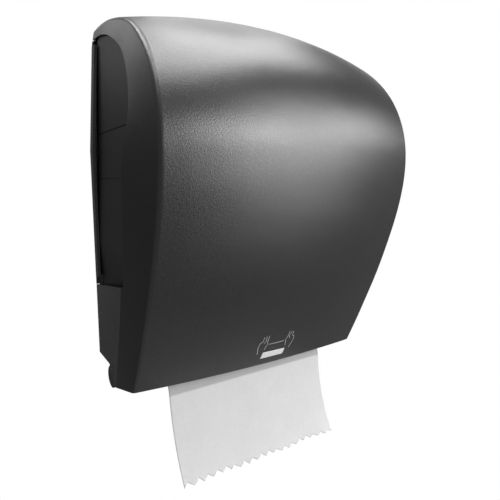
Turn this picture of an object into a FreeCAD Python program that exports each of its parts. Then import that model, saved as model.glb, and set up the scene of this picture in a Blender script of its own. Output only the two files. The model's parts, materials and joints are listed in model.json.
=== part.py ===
"""Wall-mounted pull-to-cut paper towel dispenser: a FreeCAD document, in millimetres.

X runs to the right as seen from the front, Y into the wall and Z up.  The wall is the plane
Y = 0 and the origin is the centre of the four wall screws.  Depths (names ending in _d) are
measured out from the wall, so y = -d.  Heights (names ending in _z) are measured up from the
front lower edge of the cover, and every piece is then set down by mount_rise, which brings
the centre of the wall screws to the origin.
"""
import FreeCAD, Part
import math
import os
import Sketcher
from FreeCAD import Placement, Rotation, Vector

SIZES = [
    # --- place of the whole, and clearances ---------------------------------------------
    ("mount_rise", 185.0, "wall screws' centre above the cover's front lower edge"),
    ("fit_gap", 0.05, "radial clearance of a running fit"),
    ("air_gap", 0.4, "clearance between moving faces"),
    ("paper_width", 210.0, "width of the paper, from which all widths follow"),
    ("module_side", 45.0, "drum module, side wall and cover beside the paper"),
    ("rear_half_width", "paper_width / 2 + module_side", "sides of the cover at the wall"),
    # --- cover: profile of its side crease ----------------------------------------------
    ("cover_wall", 3.0, "wall of the cover"),
    ("wall_clear", 1.0, "cover's rear edge to the wall"),
    ("crease_rear_z", 375.5, "crease at the wall"),
    ("crease_crown_d", 62.0, "pole that crowns the top"),
    ("crease_crown_z", 379.0, "the same"),
    ("shoulder_d", "lip_d + 29.2", "double pole of the shoulder"),
    ("shoulder_z", 340.0, "the same"),
    ("belly_d", "lip_d + 121.2", "pole of the belly"),
    ("belly_z", 241.5, "the same"),
    ("chin_d", "lip_d + 19.4", "pole above the front lower edge"),
    ("chin_z", 38.6, "the same"),
    ("lip_d", "chute_front_d - 1.2", "crease at the front lower edge"),
    ("bulge_top", 12.2, "crown across the width, at the wall"),
    ("bulge_peak", 19.0, "crown across the width, at the shoulder"),
    ("bulge_low", 8.4, "crown across the width, at the front lower edge"),
    ("half_width", "rear_half_width + 0.2", "crease to the middle plane, lower half"),
    ("half_width_top", "rear_half_width - 10", "crease to the middle plane, at the top"),
    ("taper_from_z", 213.0, "height where the top starts to narrow"),
    ("band_rear", 12.0, "side band beside the crease, at the wall"),
    ("band_front", 62.0, "side band beside the crease, at the belly"),
    ("band_angle", 10.4, "side band, turned out from the middle plane"),
    ("band_angle_low", 2.0, "the same at the front lower edge"),
    ("crease_round", 3.5, "rounding of the crease"),
    ("scoop_low_d", 114.0, "lower front corner of the side scoop"),
    ("scoop_low_z", 108.0, "the same"),
    ("scoop_rear_z", 90.0, "lower rear corner of the side scoop"),
    ("scoop_reach", 20.0, "the scoop goes inwards from the side by this much"),
    ("low_run", 26.0, "the shell is drawn this far past the front edge and then trimmed"),
    ("rear_run", 14.0, "and this far into the wall"),
    ("slant_rear_z", 14.0, "slanted lower rear edge, at the wall"),
    ("slant_front_z", 7.4, "the same, above the hinge"),
    # --- cover hinge ---------------------------------------------------------------------
    ("hinge_d", 44.5, "hinge axis"),
    ("hinge_z", -7.7, "hinge axis"),
    ("hinge_pin_r", 3.0, "hinge pin"),
    ("hinge_boss_r", 12.5, "boss of the cover"),
    ("hinge_boss_len", 10.0, "boss of the cover, inwards from its side"),
    ("hinge_eye_r", 11.0, "eye of the back plate"),
    ("hinge_eye_len", 7.0, "eye of the back plate, along the pin"),
    ("hinge_side_gap", 1.0, "between the boss and the eye"),
    # --- cover lock ----------------------------------------------------------------------
    ("lock_d", 22.0, "lock axis"),
    ("lock_tube_r", 14.0, "tube of the cover round the lock"),
    ("lock_tube_low_z", 366.0, "lower end of that tube"),
    ("lock_barrel_r", 9.0, "barrel"),
    ("lock_head_r", 11.0, "head of the barrel"),
    ("lock_head_h", 1.6, "head of the barrel"),
    ("lock_sink", 0.6, "seat of the head below the top of the cover"),
    ("lock_barrel_low_z", 361.0, "lower end of the barrel"),
    ("lock_cam_len", 11.0, "cam bar, from the axis"),
    ("lock_cam_width", 5.0, "cam bar"),
    ("lock_cam_thick", 5.0, "cam bar"),
    ("lock_cam_gap", 2.0, "cam bar to the barrel"),
    ("lock_hub_r", 4.5, "hub of the cam bar"),
    ("key_slot_length", 11.0, "key slot"),
    ("key_slot_width", 3.0, "key slot"),
    ("key_slot_depth", 10.0, "key slot"),
    ("catch_lip_gap", 0.8, "locked cam bar to the lip of the catch"),
    ("catch_lip_thick", 3.0, "lip of the catch"),
    ("catch_half", 18.0, "half width of the catch"),
    ("catch_mouth", 5.0, "lip to the middle plane"),
    ("catch_z", "plate_top_z - 8", "upper face of the catch's shelf"),
    ("catch_thick", 3.0, "shelf of the catch"),
    ("catch_foot", 22.0, "foot of the catch, below its shelf's upper face"),
    ("catch_screw_drop", 14.0, "screws of the catch below that face"),
    ("catch_screw_half", 10.0, "screws of the catch from the middle plane"),
    # --- back plate ----------------------------------------------------------------------
    ("plate_thick", 3.0, "back plate"),
    ("plate_rim", 10.0, "height of its rim from the wall"),
    ("rim_thick", 3.0, "rim of the back plate"),
    ("plate_low_z", 15.0, "lower edge"),
    ("plate_top_z", 358.0, "upper edge"),
    ("plate_low_half", "rear_half_width - 4", "half width below the scoops"),
    ("plate_half", "rear_half_width", "half width beside the scoops"),
    ("plate_step_z", 101.0, "height where it widens"),
    ("plate_taper_z", 245.0, "height where it starts to narrow"),
    ("plate_top_half", "rear_half_width - 7", "half width at the top"),
    ("root_lap", 1.0, "a part that stands on a sheet reaches into it by this much"),
    ("bracket_low", 7.0, "hinge bracket's lower end above the plate's lower edge"),
    ("bracket_high", 45.0, "hinge bracket's upper end above that edge"),
    ("screw_pitch_x", "2 * rear_half_width - 120", "wall screws, across"),
    ("screw_pitch_z", 260.0, "wall screws, up"),
    ("screw_hole_r", 2.75, "wall screw hole"),
    ("screw_pad_r", 9.0, "pad round a wall screw hole"),
    ("screw_pad_h", 4.0, "height of that pad over the plate"),
    ("rib_x", "rear_half_width - 92", "upright ribs of the back plate"),
    ("rib_thick", 2.5, "rib of the back plate"),
    ("rib_height", 6.0, "rib of the back plate, over the plate"),
    # --- side walls of the chassis -------------------------------------------------------
    ("side_thick", 2.5, "side wall"),
    ("side_low_x", "rear_half_width - 5", "outer face, lower part"),
    ("side_rear_x", "rear_half_width - 3.5", "outer face at the rear, beside the scoop"),
    ("side_front_x", "rear_half_width + 3.5", "outer face at the front, beside the scoop"),
    ("side_top_rear_x", "half_width_top - 0.4", "outer face at the rear, at the top"),
    ("side_top_front_x", "half_width_top + 3.5", "outer face at the front, at the top"),
    ("side_low_z", 8.0, "lower edge"),
    ("side_ramp_z", 142.0, "top of the ramp at the scoop's lower end"),
    ("side_top_z", 350.0, "height of the two widths at the top"),
    ("side_flat_z", 104.6, "lower end of that ramp, above the rim"),
    ("side_lap", 4.0, "side wall reaches under the cover's band by"),
    ("side_drop", 2.0, "side wall stays below the scoop's upper edge by"),
    ("side_off_rim", 0.3, "lower part of the side wall in front of the rim"),
    ("seam_upper_z", 262.0, "upper seam across the side wall"),
    ("seam_lower_z", 213.0, "lower seam across the side wall"),
    ("seam_width", 1.2, "seam"),
    ("seam_depth", 0.8, "seam"),
    ("foot_x", "side_low_x - 21", "inner end of a foot of the side wall"),
    ("foot_height", 26.0, "foot of the side wall"),
    ("foot_low_z", 64.0, "lower foot"),
    ("foot_mid_z", 166.0, "middle foot"),
    ("foot_top_z", 308.0, "upper foot"),
    ("foot_screw_in", 8.0, "screw of a foot, from the foot's inner end"),
    ("side_front_d", 150.0, "depth of the front widths of the side wall"),
    ("low_corner_back", 20.0, "lower front corner of the side wall, towards the wall"),
    ("low_corner_lean", 6.0, "its front edge leans by this much"),
    ("low_corner_rise", 50.0, "over this height"),
    # --- paper roll and its arms ---------------------------------------------------------
    ("roll_d", "roll_r + 20", "roll axis"),
    ("roll_z", 250.0, "roll axis"),
    ("roll_r", 82.0, "paper roll"),
    ("core_r", 21.0, "cardboard core"),
    ("core_wall", 2.0, "cardboard core"),
    ("arm_gap", 7.0, "end of the roll to the arm"),
    ("arm_thick", 4.0, "roll arm"),
    ("arm_tip_r", 23.0, "round end of the arm"),
    ("arm_root_half", 20.0, "half height of the arm at its root"),
    ("arm_rib", 2.5, "rib round the arm"),
    ("plug_flange_r", 24.0, "flange of the core plug"),
    ("plug_flange", 3.0, "flange of the core plug"),
    ("plug_gap", 0.6, "radial clearance of the core on its plug"),
    ("plug_len", 17.5, "core plug, from the arm to its nose"),
    ("plug_taper", 1.8, "the plug narrows by this much to its nose"),
    ("plug_nose_r", 13.0, "nose of the core plug"),
    ("arm_pin_r", 2.5, "pin of the swinging arm"),
    ("arm_pin_d", 15.0, "pin of the swinging arm"),
    ("arm_pin_out", 3.0, "that pin, outwards from the arm's outer face"),
    ("knuckle_r", 6.0, "knuckles of the swinging arm"),
    ("knuckle_len", 11.0, "knuckle of the back plate"),
    ("knuckle_half", 10.0, "half height of the gap between those knuckles"),
    ("arm_foot", 12.0, "foot of the fixed arm, outwards from the arm"),
    ("arm_screw_out", 6.0, "screws of that foot, outwards from the arm"),
    ("arm_screw_half", 9.0, "screws of that foot above and below the roll axis"),
    ("pin_head_over", 2.0, "head of a pin over its radius"),
    ("pin_head_h", 1.5, "head of a pin, its height"),
    # --- cutting drum --------------------------------------------------------------------
    ("drum_d", 71.0, "drum axis"),
    ("drum_z", 72.0, "drum axis"),
    ("drum_r", 40.0, "drum"),
    ("drum_wall", 3.0, "drum"),
    ("drum_half_len", "paper_width / 2 + 4", "half length of the drum"),
    ("end_disc", 3.0, "end disc"),
    ("end_disc_r", "drum_r - 2", "end disc"),
    ("shaft_r", 5.0, "drum shaft"),
    ("web_thick", 3.0, "web inside the drum"),
    ("web_pitch", "paper_width / 3", "webs along the drum"),
    ("groove_width", 6.0, "groove for a stripper finger"),
    ("groove_depth", 1.6, "groove for a stripper finger"),
    ("groove_pitch", "(paper_width + 10) / 5", "grooves along the drum"),
    ("grip_width", 24.0, "rubber band round the drum"),
    ("grip_depth", 1.0, "seat of the rubber band"),
    ("slot_rear", 14.0, "knife slot behind the drum's middle"),
    ("slot_front", 4.0, "knife slot in front of it"),
    # --- knife in the drum ---------------------------------------------------------------
    ("knife_back", "drum_r / 2", "knife pivot behind the drum axis"),
    ("knife_drop", "drum_r * 0.6", "knife pivot below the drum axis"),
    ("blade_top_drop", 16.0, "upper edge of the blade below the drum axis"),
    ("blade_screw_drop", 5.0, "blade screws below that edge"),
    ("blade_screw_r", 1.5, "blade screw"),
    ("blade_screw_head_r", 2.8, "head of a blade screw"),
    ("blade_screw_head_h", 1.6, "head of a blade screw"),
    ("carrier_thick", 2.0, "knife carrier behind the blade"),
    ("knife_boss_r", 4.0, "boss of the knife carrier"),
    ("knife_pin_r", 2.0, "pin of the knife carrier"),
    ("blade_thick", 1.0, "knife blade"),
    ("blade_tip", "drum_r - 2.2", "tips of the teeth from the drum axis, at rest"),
    ("tooth_depth", 5.0, "teeth of the blade"),
    ("follower_r", 4.0, "cam follower"),
    ("follower_back", "cam_in_r - 8.5", "cam follower behind the drum axis"),
    ("follower_drop", 8.0, "cam follower below the drum axis"),
    ("follower_thick", 2.0, "arm of the cam follower"),
    ("follower_out", 2.3, "outer face of that arm, off the end disc"),
    ("follower_pin_len", 3.1, "cam follower, outwards from its arm"),
    ("cam_out_r", "drum_r - 2", "cam ring, outside"),
    ("cam_in_r", "cam_out_r - 2.5", "cam ring, inside"),
    ("cam_lobe", 3.0, "rise of the cam"),
    ("cam_thick", 3.4, "cam ring"),
    # --- frames of the drum module -------------------------------------------------------
    ("frame_x", "drum_half_len + end_disc + 6", "inner face of a side frame"),
    ("frame_thick", 3.0, "side frame"),
    ("frame_flange", 12.0, "flange of the frame on the back plate"),
    ("bush_r", 7.0, "bush of the drum shaft"),
    ("bush_flange_r", 9.5, "flange of the bush"),
    ("bush_flange", 1.5, "flange of the bush"),
    ("tie_r", 4.0, "tie bar"),
    ("tie_low_d", "drum_d - 51", "lower tie bar"),
    ("tie_low_z", "drum_z - 32", "lower tie bar"),
    ("tie_high_d", "drum_d + 45", "upper tie bar"),
    ("tie_high_z", "drum_z + 56", "upper tie bar"),
    ("flange_low_z", "drum_z + 24", "flange of the frame, lower end"),
    ("flange_top_z", "drum_z + 78", "flange of the frame, upper end"),
    ("bar_d", "drum_d - 41", "paper guide bar"),
    ("bar_z", "drum_z + 52", "paper guide bar"),
    ("bar_r", 5.0, "paper guide bar"),
    # --- pinch roller --------------------------------------------------------------------
    ("pinch_angle", 50.0, "pinch roller above the drum's front, round the drum"),
    ("pinch_r", 9.0, "pinch roller"),
    ("pinch_shaft_r", 3.0, "shaft of the pinch roller"),
    ("pinch_nip", 1.2, "drum to pinch roller, for the paper"),
    ("pinch_sleeve", 44.0, "rubber sleeve on the pinch shaft"),
    ("pinch_pitch", "paper_width / 3 + 5", "rubber sleeves along the shaft"),
    ("cradle_pin_d", "drum_d + 25", "pivot of the pinch cradle"),
    ("cradle_pin_z", "drum_z + 63", "pivot of the pinch cradle"),
    ("cradle_pin_r", 2.5, "pivot of the pinch cradle"),
    ("cradle_ear", 3.0, "ear of the pinch cradle"),
    ("cradle_ear_x", "drum_half_len + 0.5", "inner face of that ear"),
    ("cradle_round", 6.0, "round ends of that ear"),
    ("cradle_bar_in", 2.0, "bar of the pinch cradle in front of its pivot"),
    ("cradle_bar_wide", 9.0, "that bar, outwards from the wall"),
    ("cradle_bar_low", 12.0, "its lower face below the pivot"),
    ("cradle_bar_thick", 4.0, "its thickness"),
    ("pinch_past", 3.5, "pinch shaft past the ear"),
    ("pinch_wire_r", 0.6, "wire of the pinch spring"),
    ("pinch_coil_pitch", 1.3, "pinch spring"),
    ("pinch_coil_turns", 3.0, "pinch spring"),
    # --- drive on the right, knob on the left ---------------------------------------------
    ("crank_r", 17.0, "crank disc"),
    ("crank_thick", 4.0, "crank disc"),
    ("crank_throw", 12.0, "crank pin from the shaft"),
    ("crank_pin_r", 2.5, "crank pin"),
    ("crank_pin_len", 7.0, "crank pin"),
    ("post_d", "drum_d - 11", "spring post"),
    ("post_z", "drum_z + 58", "spring post"),
    ("crank_off", 2.0, "crank disc and knob off their side frame"),
    ("post_r", 3.0, "spring post"),
    ("post_head_over", 1.8, "head of the spring post over its radius"),
    ("coil_r", 4.0, "drive spring, to the middle of its wire"),
    ("wire_r", 0.7, "wire of the drive spring"),
    ("coil_pitch", 2.6, "drive spring"),
    ("coil_turns", 11.0, "drive spring"),
    ("box_depth", 17.0, "drive box, outwards from the frame"),
    ("box_rear_d", "drum_d - 31", "drive box"),
    ("box_front_d", "drum_d + 31", "drive box"),
    ("box_low_z", "drum_z - 24", "drive box"),
    ("box_top_z", "drum_z + 68", "drive box"),
    ("box_ear", 8.0, "screw ears of the drive box"),
    ("box_ear_in", 6.0, "screw ear from the end of the box"),
    ("box_ear_high", 12.0, "height of a screw ear"),
    ("box_ear_thick", 2.5, "thickness of a screw ear"),
    ("box_wall", 2.0, "drive box"),
    ("knob_r", 22.0, "feed knob"),
    ("knob_len", 14.0, "feed knob"),
    ("knob_flutes", 12.0, "finger flutes round the knob"),
    ("flute_r", 4.0, "finger flute"),
    # --- paper path and exit --------------------------------------------------------------
    ("paper_thick", 0.5, "paper between roll and exit"),
    ("paper_lift", 0.35, "paper off a turning face"),
    ("tail_thick", 1.0, "hanging towel"),
    ("tail_straight", 10.0, "hanging towel, its straight upper end"),
    ("tail_arc", 103.0, "hanging towel, its curled part"),
    ("tail_curl_r", 265.0, "forward curl of the hanging towel"),
    ("chute_front_d", "drum_d + drum_r + 6", "rear face of the front chute plate"),
    ("chute_rear_d", "drum_d + drum_r - 3", "front face of the rear chute plate"),
    ("chute_thick", 2.0, "chute plates"),
    ("chute_low_z", 4.0, "lower end of the chute"),
    ("chute_front_low_z", 12.0, "lower end of the front chute plate"),
    ("chute_front_z", "drum_z - 12", "upper end of its upright part"),
    ("chute_flare", 10.0, "flared mouth of the front chute plate"),
    ("chute_rear_z", "drum_z - 28", "upper end of the rear chute plate"),
    ("tray_rear_z", 20.0, "tray at the back plate"),
    ("tray_thick", 2.5, "tray"),
    ("comb_reach", 1.0, "finger tips stay off the groove's floor by"),
    ("comb_thick", 2.5, "bar of the stripper comb"),
    ("comb_low", 12.0, "its lower edge below the end of the rear plate"),
    ("comb_high", 4.0, "its upper edge below that end"),
    ("comb_side", 3.0, "the bar ends this far inside the paper's edges"),
    ("finger_half", 2.0, "half width of a stripper finger"),
    ("finger_angle", 20.0, "finger tips below the drum's middle, round the drum"),
    # --- fasteners ------------------------------------------------------------------------
    ("bolt_r", 2.0, "small screw"),
    ("bolt_head_r", 3.8, "head of a small screw"),
    ("bolt_head_h", 2.4, "head of a small screw"),
    ("bolt_len", 5.0, "screw of the drive box under its head"),
]


class Size:
    """A size worked out from the sheet: its expression, and its number of the moment."""

    def __init__(self, text, value):
        self.text = text
        self.value = value

    def join(self, sign, other, value):
        return Size("(%s %s %s)" % (self.text, sign, other.text), value)

    def __add__(self, other):
        other = lift(other)
        return self.join("+", other, self.value + other.value)

    def __sub__(self, other):
        other = lift(other)
        return self.join("-", other, self.value - other.value)

    def __mul__(self, other):
        other = lift(other)
        return self.join("*", other, self.value * other.value)

    def __truediv__(self, other):
        other = lift(other)
        return self.join("/", other, self.value / other.value)

    def __neg__(self):
        return Size("(-1 * %s)" % self.text, -self.value)

    def __radd__(self, other):
        return lift(other) + self

    def __rsub__(self, other):
        return lift(other) - self

    def __rmul__(self, other):
        return lift(other) * self


def lift(value):
    """A plain number as a Size."""
    if isinstance(value, Size):
        return value
    return Size("(%r)" % float(value), float(value))


def cos_of(angle):
    return Size("cos(%s)" % angle.text, math.cos(math.radians(angle.value)))


def sin_of(angle):
    return Size("sin(%s)" % angle.text, math.sin(math.radians(angle.value)))


class Sizes:
    """Each driving size by its name."""


doc = FreeCAD.newDocument("towel_dispenser")
sheet = doc.addObject("Spreadsheet::Sheet", "sizes")
s = Sizes()
for row, (name, _, note) in enumerate(SIZES, start=1):
    sheet.set("A%d" % row, name)
    sheet.set("C%d" % row, note)
    sheet.setAlias("B%d" % row, name)
for name, value, _ in SIZES:
    sheet.set(name, "=" + value if isinstance(value, str) else "%r" % value)
doc.recompute()
for name, _, _ in SIZES:
    setattr(s, name, Size("sizes.%s" % name, float(sheet.get(name))))

nodes = {}


# ---------------------------------------------------------------- document helpers ------
def bind(obj, prop, size):
    """Tie one property to the sheet."""
    obj.setExpression(prop, lift(size).text)


def place(obj, x=0.0, d=0.0, z=0.0, drop=True):
    """Put an object at x, d out from the wall and z above the front lower edge."""
    bind(obj, "Placement.Base.x", x)
    bind(obj, "Placement.Base.y", -lift(d))
    bind(obj, "Placement.Base.z", lift(z) - s.mount_rise if drop else z)


def node(label, obj):
    """Name an object as one piece of the product."""
    obj.Label = label
    nodes[label] = obj
    return obj


def body(name):
    return doc.addObject("PartDesign::Body", name)


def sketch(owner, role, lift_by=0.0):
    """A sketch on one of the body's own planes, moved along its normal.

    XY_Plane draws in x, y; XZ_Plane draws in x, z and faces out from the wall; YZ_Plane
    draws in y, z and faces right.
    """
    support = [f for f in owner.Origin.OriginFeatures if f.Role == role][0]
    made = owner.newObject("Sketcher::SketchObject", "%s_%s" % (owner.Name, role[:2].lower()))
    made.AttachmentSupport = [(support, "")]
    made.MapMode = "FlatFace"
    bind(made, "AttachmentOffset.Base.z", lift_by)
    return made


def outline(made, points):
    """A closed outline of straight lines whose corners are bound to the sheet."""
    points = [(lift(a), lift(b)) for a, b in points]
    first = made.GeometryCount
    count = len(points)
    for i in range(count):
        a, b = points[i]
        c, e = points[(i + 1) % count]
        made.addGeometry(Part.LineSegment(Vector(a.value, b.value, 0), Vector(c.value, e.value, 0)))
    for i in range(count):
        made.addConstraint(Sketcher.Constraint("Coincident", first + i, 2,
                                               first + (i + 1) % count, 1))
    for i, (a, b) in enumerate(points):
        for kind, size in (("DistanceX", a), ("DistanceY", b)):
            k = made.addConstraint(Sketcher.Constraint(kind, -1, 1, first + i, 1, size.value))
            made.setExpression("Constraints[%d]" % k, size.text)


def circle(made, x, y, radius):
    """A circle bound to the sheet."""
    x, y, radius = lift(x), lift(y), lift(radius)
    i = made.addGeometry(Part.Circle(Vector(x.value, y.value, 0), Vector(0, 0, 1), radius.value))
    rows = (Sketcher.Constraint("Radius", i, radius.value),
            Sketcher.Constraint("DistanceX", -1, 1, i, 3, x.value),
            Sketcher.Constraint("DistanceY", -1, 1, i, 3, y.value))
    for row, size in zip(rows, (radius, x, y)):
        k = made.addConstraint(row)
        made.setExpression("Constraints[%d]" % k, size.text)


def pad(owner, profile, length, middle=False, back=False):
    """Pad a sketch: along its normal, both ways, or against its normal."""
    made = owner.newObject("PartDesign::Pad", owner.Name + "_pad")
    made.Profile = profile
    bind(made, "Length", length)
    made.Midplane = middle
    made.Reversed = back
    profile.Visibility = False
    return made


def pocket(owner, profile, length, middle=False, back=False):
    """Pocket a sketch: with back=True it cuts along the sketch's normal."""
    made = owner.newObject("PartDesign::Pocket", owner.Name + "_pocket")
    made.Profile = profile
    bind(made, "Length", length)
    made.Midplane = middle
    made.Reversed = back
    return made


def turned(name, profile_points):
    """A body turned about its own X axis from an outline in x and radius."""
    owner = body(name)
    profile = sketch(owner, "XZ_Plane")
    outline(profile, profile_points)
    made = owner.newObject("PartDesign::Revolution", name + "_turn")
    made.Profile = profile
    made.ReferenceAxis = (profile, ["H_Axis"])
    made.Angle = 360
    return owner


def rod(name, radius, x_from, x_to, d=0.0, z=0.0):
    """A round bar along X."""
    made = doc.addObject("Part::Cylinder", name)
    bind(made, "Radius", radius)
    bind(made, "Height", lift(x_to) - x_from)
    made.Placement = Placement(Vector(), Rotation(Vector(0, 1, 0), 90))
    place(made, x_from, d, z)
    return made


def upright(name, radius, z_from, z_to, x=0.0, d=0.0):
    """A round bar standing up."""
    made = doc.addObject("Part::Cylinder", name)
    bind(made, "Radius", radius)
    bind(made, "Height", lift(z_to) - z_from)
    place(made, x, d, z_from)
    return made


def block(name, x_from, x_to, d_from, d_to, z_from, z_to):
    """A box given by its faces."""
    made = doc.addObject("Part::Box", name)
    bind(made, "Length", lift(x_to) - x_from)
    bind(made, "Width", lift(d_to) - d_from)
    bind(made, "Height", lift(z_to) - z_from)
    place(made, x_from, d_to, z_from)
    return made


def cut(name, base, tool):
    made = doc.addObject("Part::Cut", name)
    made.Base = base
    made.Tool = tool
    return made


def fuse(name, shapes):
    """Join shapes; one alone stays as it is."""
    if len(shapes) == 1:
        return shapes[0]
    made = doc.addObject("Part::MultiFuse", name)
    made.Shapes = shapes
    made.Refine = True
    return made


def common(name, base, tool):
    made = doc.addObject("Part::Common", name)
    made.Base = base
    made.Tool = tool
    return made


def slab(name, points, x_from, x_to):
    """A plate along X from an outline of depths and heights."""
    owner = body(name)
    profile = sketch(owner, "YZ_Plane", x_from)
    outline(profile, [(-lift(d), z) for d, z in points])
    pad(owner, profile, lift(x_to) - x_from)
    place(owner)
    return owner


def group(name, shapes):
    """Several like pieces kept as one node of separate solids."""
    made = doc.addObject("Part::Compound", name)
    made.Links = shapes
    return made


def coded(name, shape):
    """A piece whose form is computed from the sheet's values."""
    made = doc.addObject("Part::Feature", name)
    made.Shape = shape
    made.Placement = Placement(Vector(0, 0, -s.mount_rise.value), Rotation())
    return made


SIDES = (("left", -1), ("right", 1))


def between(side, x_in, x_out):
    """The lower and upper x of a piece on one side, from its inner and outer face."""
    if side > 0:
        return lift(x_in), lift(x_out)
    return -lift(x_out), -lift(x_in)


# ---------------------------------------------------------------- cover -----------------
STATIONS = 13           # cross sections of the cover from the wall, over the belly, to the chin
FLARE_END = 0.54        # part of the crease where the side band has its full width
PEAK_AT = 0.33          # part of the crease where the crown across the width is highest
FADE_START = 0.6        # part of the crease from where the side band lies down
FAR = 300.0             # a length past every face, for the shapes that only cut
HOLE_RUN = 20.0         # cutters of the holes in a foot run from the wall to this depth


def crease_line():
    """The side crease in depth and height, from the wall over the belly to the chin."""
    shoulder = Vector(s.shoulder_d.value, s.shoulder_z.value, 0)
    poles = [Vector(0, s.crease_rear_z.value, 0),
             Vector(s.crease_crown_d.value, s.crease_crown_z.value, 0),
             shoulder, shoulder,
             Vector(s.belly_d.value, s.belly_z.value, 0),
             Vector(s.chin_d.value, s.chin_z.value, 0),
             Vector(s.lip_d.value, 0, 0)]
    curve = Part.BSplineCurve()
    curve.buildFromPolesMultsKnots(poles, [4, 1, 1, 1, 4], [0, 1, 2, 3, 4], False, 3)
    return curve


class Station:
    """One cross section of the cover, at a part of the crease: 0 at the wall, 1 at the chin."""

    def __init__(self, curve, part, past=0.0):
        where = curve.parameterAtDistance(curve.length() * part, curve.FirstParameter)
        along = curve.tangent(where)[0]
        self.crease = curve.value(where) + along * past
        outward = Vector(-along.y, along.x, 0)
        fade = min(1.0, (1.0 - part) / (1.0 - FADE_START))
        self.inward = (outward * -fade + Vector(-1, 0, 0) * (1.0 - fade)).normalize()
        grown = min(part / FLARE_END, 1.0) ** 1.5
        shrunk = 1.0 - 0.25 * max(0.0, (part - FLARE_END) / (1.0 - FLARE_END))
        band = (s.band_rear.value + (s.band_front.value - s.band_rear.value) * grown) * shrunk
        height = self.crease.y
        top = max(0.0, (height - s.taper_from_z.value)
                  / (s.crease_rear_z.value - s.taper_from_z.value))
        self.half = s.half_width.value - (s.half_width.value - s.half_width_top.value) * top ** 2
        end_bulge, reach = ((s.bulge_top.value, PEAK_AT) if part < PEAK_AT
                            else (s.bulge_low.value, 1.0 - PEAK_AT))
        off_peak = abs(part - PEAK_AT) / reach
        self.bulge = s.bulge_peak.value - (s.bulge_peak.value - end_bulge) * off_peak
        angle = s.band_angle_low.value + (s.band_angle.value - s.band_angle_low.value) * fade
        self.band = self.crease + self.inward * band
        self.band_half = self.half + band * math.tan(math.radians(angle))
        if part == 0.0:
            self.rear = self.crease + self.inward * (s.band_front.value)
        else:
            low = -s.low_run.value * 0.9
            self.rear = Vector(0, self.band.y - 0.15 * (self.band.y - low), 0)
            if past > 0:
                self.rear.y = self.crease.y

    def section(self):
        """The closed outline of the shell at this station: outer face, then inner face."""
        wall, turn = s.cover_wall.value, s.crease_round.value
        rear_half = s.rear_half_width.value
        lead = (self.band - self.crease).normalize() * turn
        on_band = self.crease + lead
        band_x = self.half + (self.band_half - self.half) * turn / (self.band - self.crease).Length
        front_x = self.half - turn
        front_out = self.bulge * (1.0 - (front_x / self.half) ** 2)
        on_front = self.crease - self.inward * front_out
        middle = self.crease - self.inward * self.bulge
        inner = self.crease + self.inward * wall
        inner_middle = middle + self.inward * wall
        edges = []
        for side in (1, -1):
            half = [Part.LineSegment(at(side * rear_half, self.rear),
                                     at(side * self.band_half, self.band)).toShape(),
                    Part.LineSegment(at(side * self.band_half, self.band),
                                     at(side * band_x, on_band)).toShape()]
            corner = Part.BezierCurve()
            corner.setPoles([at(side * band_x, on_band), at(side * self.half, self.crease),
                             at(side * front_x, on_front)])
            half.append(corner.toShape())
            edges.append(half)
        front = Part.Arc(at(front_x, on_front), at(0, middle), at(-front_x, on_front)).toShape()
        inner_half = [self.half - wall, self.band_half - wall, rear_half - wall]
        back = [Part.LineSegment(at(-rear_half, self.rear), at(-inner_half[2], self.rear)).toShape(),
                Part.LineSegment(at(-inner_half[2], self.rear),
                                 at(-inner_half[1], self.band)).toShape(),
                Part.LineSegment(at(-inner_half[1], self.band), at(-inner_half[0], inner)).toShape(),
                Part.Arc(at(-inner_half[0], inner), at(0, inner_middle),
                         at(inner_half[0], inner)).toShape(),
                Part.LineSegment(at(inner_half[0], inner), at(inner_half[1], self.band)).toShape(),
                Part.LineSegment(at(inner_half[1], self.band),
                                 at(inner_half[2], self.rear)).toShape(),
                Part.LineSegment(at(inner_half[2], self.rear), at(rear_half, self.rear)).toShape()]
        return Part.Wire(edges[0] + [front] + list(reversed(edges[1])) + back)


def at(x, flat):
    """A point at x from one in depth and height."""
    return Vector(x, -flat.x, flat.y)


def side_prism(points_wire, x_from, x_to):
    """A solid between two x from a flat wire in depth and height."""
    face = Part.Face(points_wire)
    face.translate(Vector(x_from, 0, 0))
    return face.extrude(Vector(x_to - x_from, 0, 0))


curve = crease_line()
stations = [Station(curve, k / (STATIONS - 1.0)) for k in range(STATIONS)]
ends = Station(curve, 0.0, -s.rear_run.value), Station(curve, 1.0, s.low_run.value)
shell = Part.makeLoft([st.section() for st in [ends[0]] + stations + [ends[1]]], True, False)
cover_shell = coded("cover_shell", shell)


def scoop_wire(shift_d, shift_z):
    """The scoop's edge in depth and height: along the side band, closed at the wall."""
    upper = [st.band - st.inward for st in stations if st.band.y > s.scoop_low_z.value + 8]
    points = [Vector(p.x + shift_d, p.y + shift_z, 0) for p in upper]
    points.append(Vector(s.scoop_low_d.value + shift_d, s.scoop_low_z.value, 0))
    edge = Part.BSplineCurve()
    edge.interpolate([at(0, p) for p in points])
    behind = -6.0
    rear_low = Vector(behind, s.scoop_rear_z.value, 0)
    rear_high = Vector(behind, points[0].y, 0)
    return Part.Wire([edge.toShape(),
                      Part.LineSegment(at(0, points[-1]), at(0, rear_low)).toShape(),
                      Part.LineSegment(at(0, rear_low), at(0, rear_high)).toShape(),
                      Part.LineSegment(at(0, rear_high), at(0, points[0])).toShape()])


scoop = side_prism(scoop_wire(0, 0), -FAR, FAR)
core_half = s.rear_half_width.value - s.scoop_reach.value
core = Part.makeBox(2 * core_half, FAR, 2 * FAR, Vector(-core_half, -FAR, -FAR / 2))
scoop_cutter = coded("scoop_cutter", scoop.cut(core))

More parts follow.
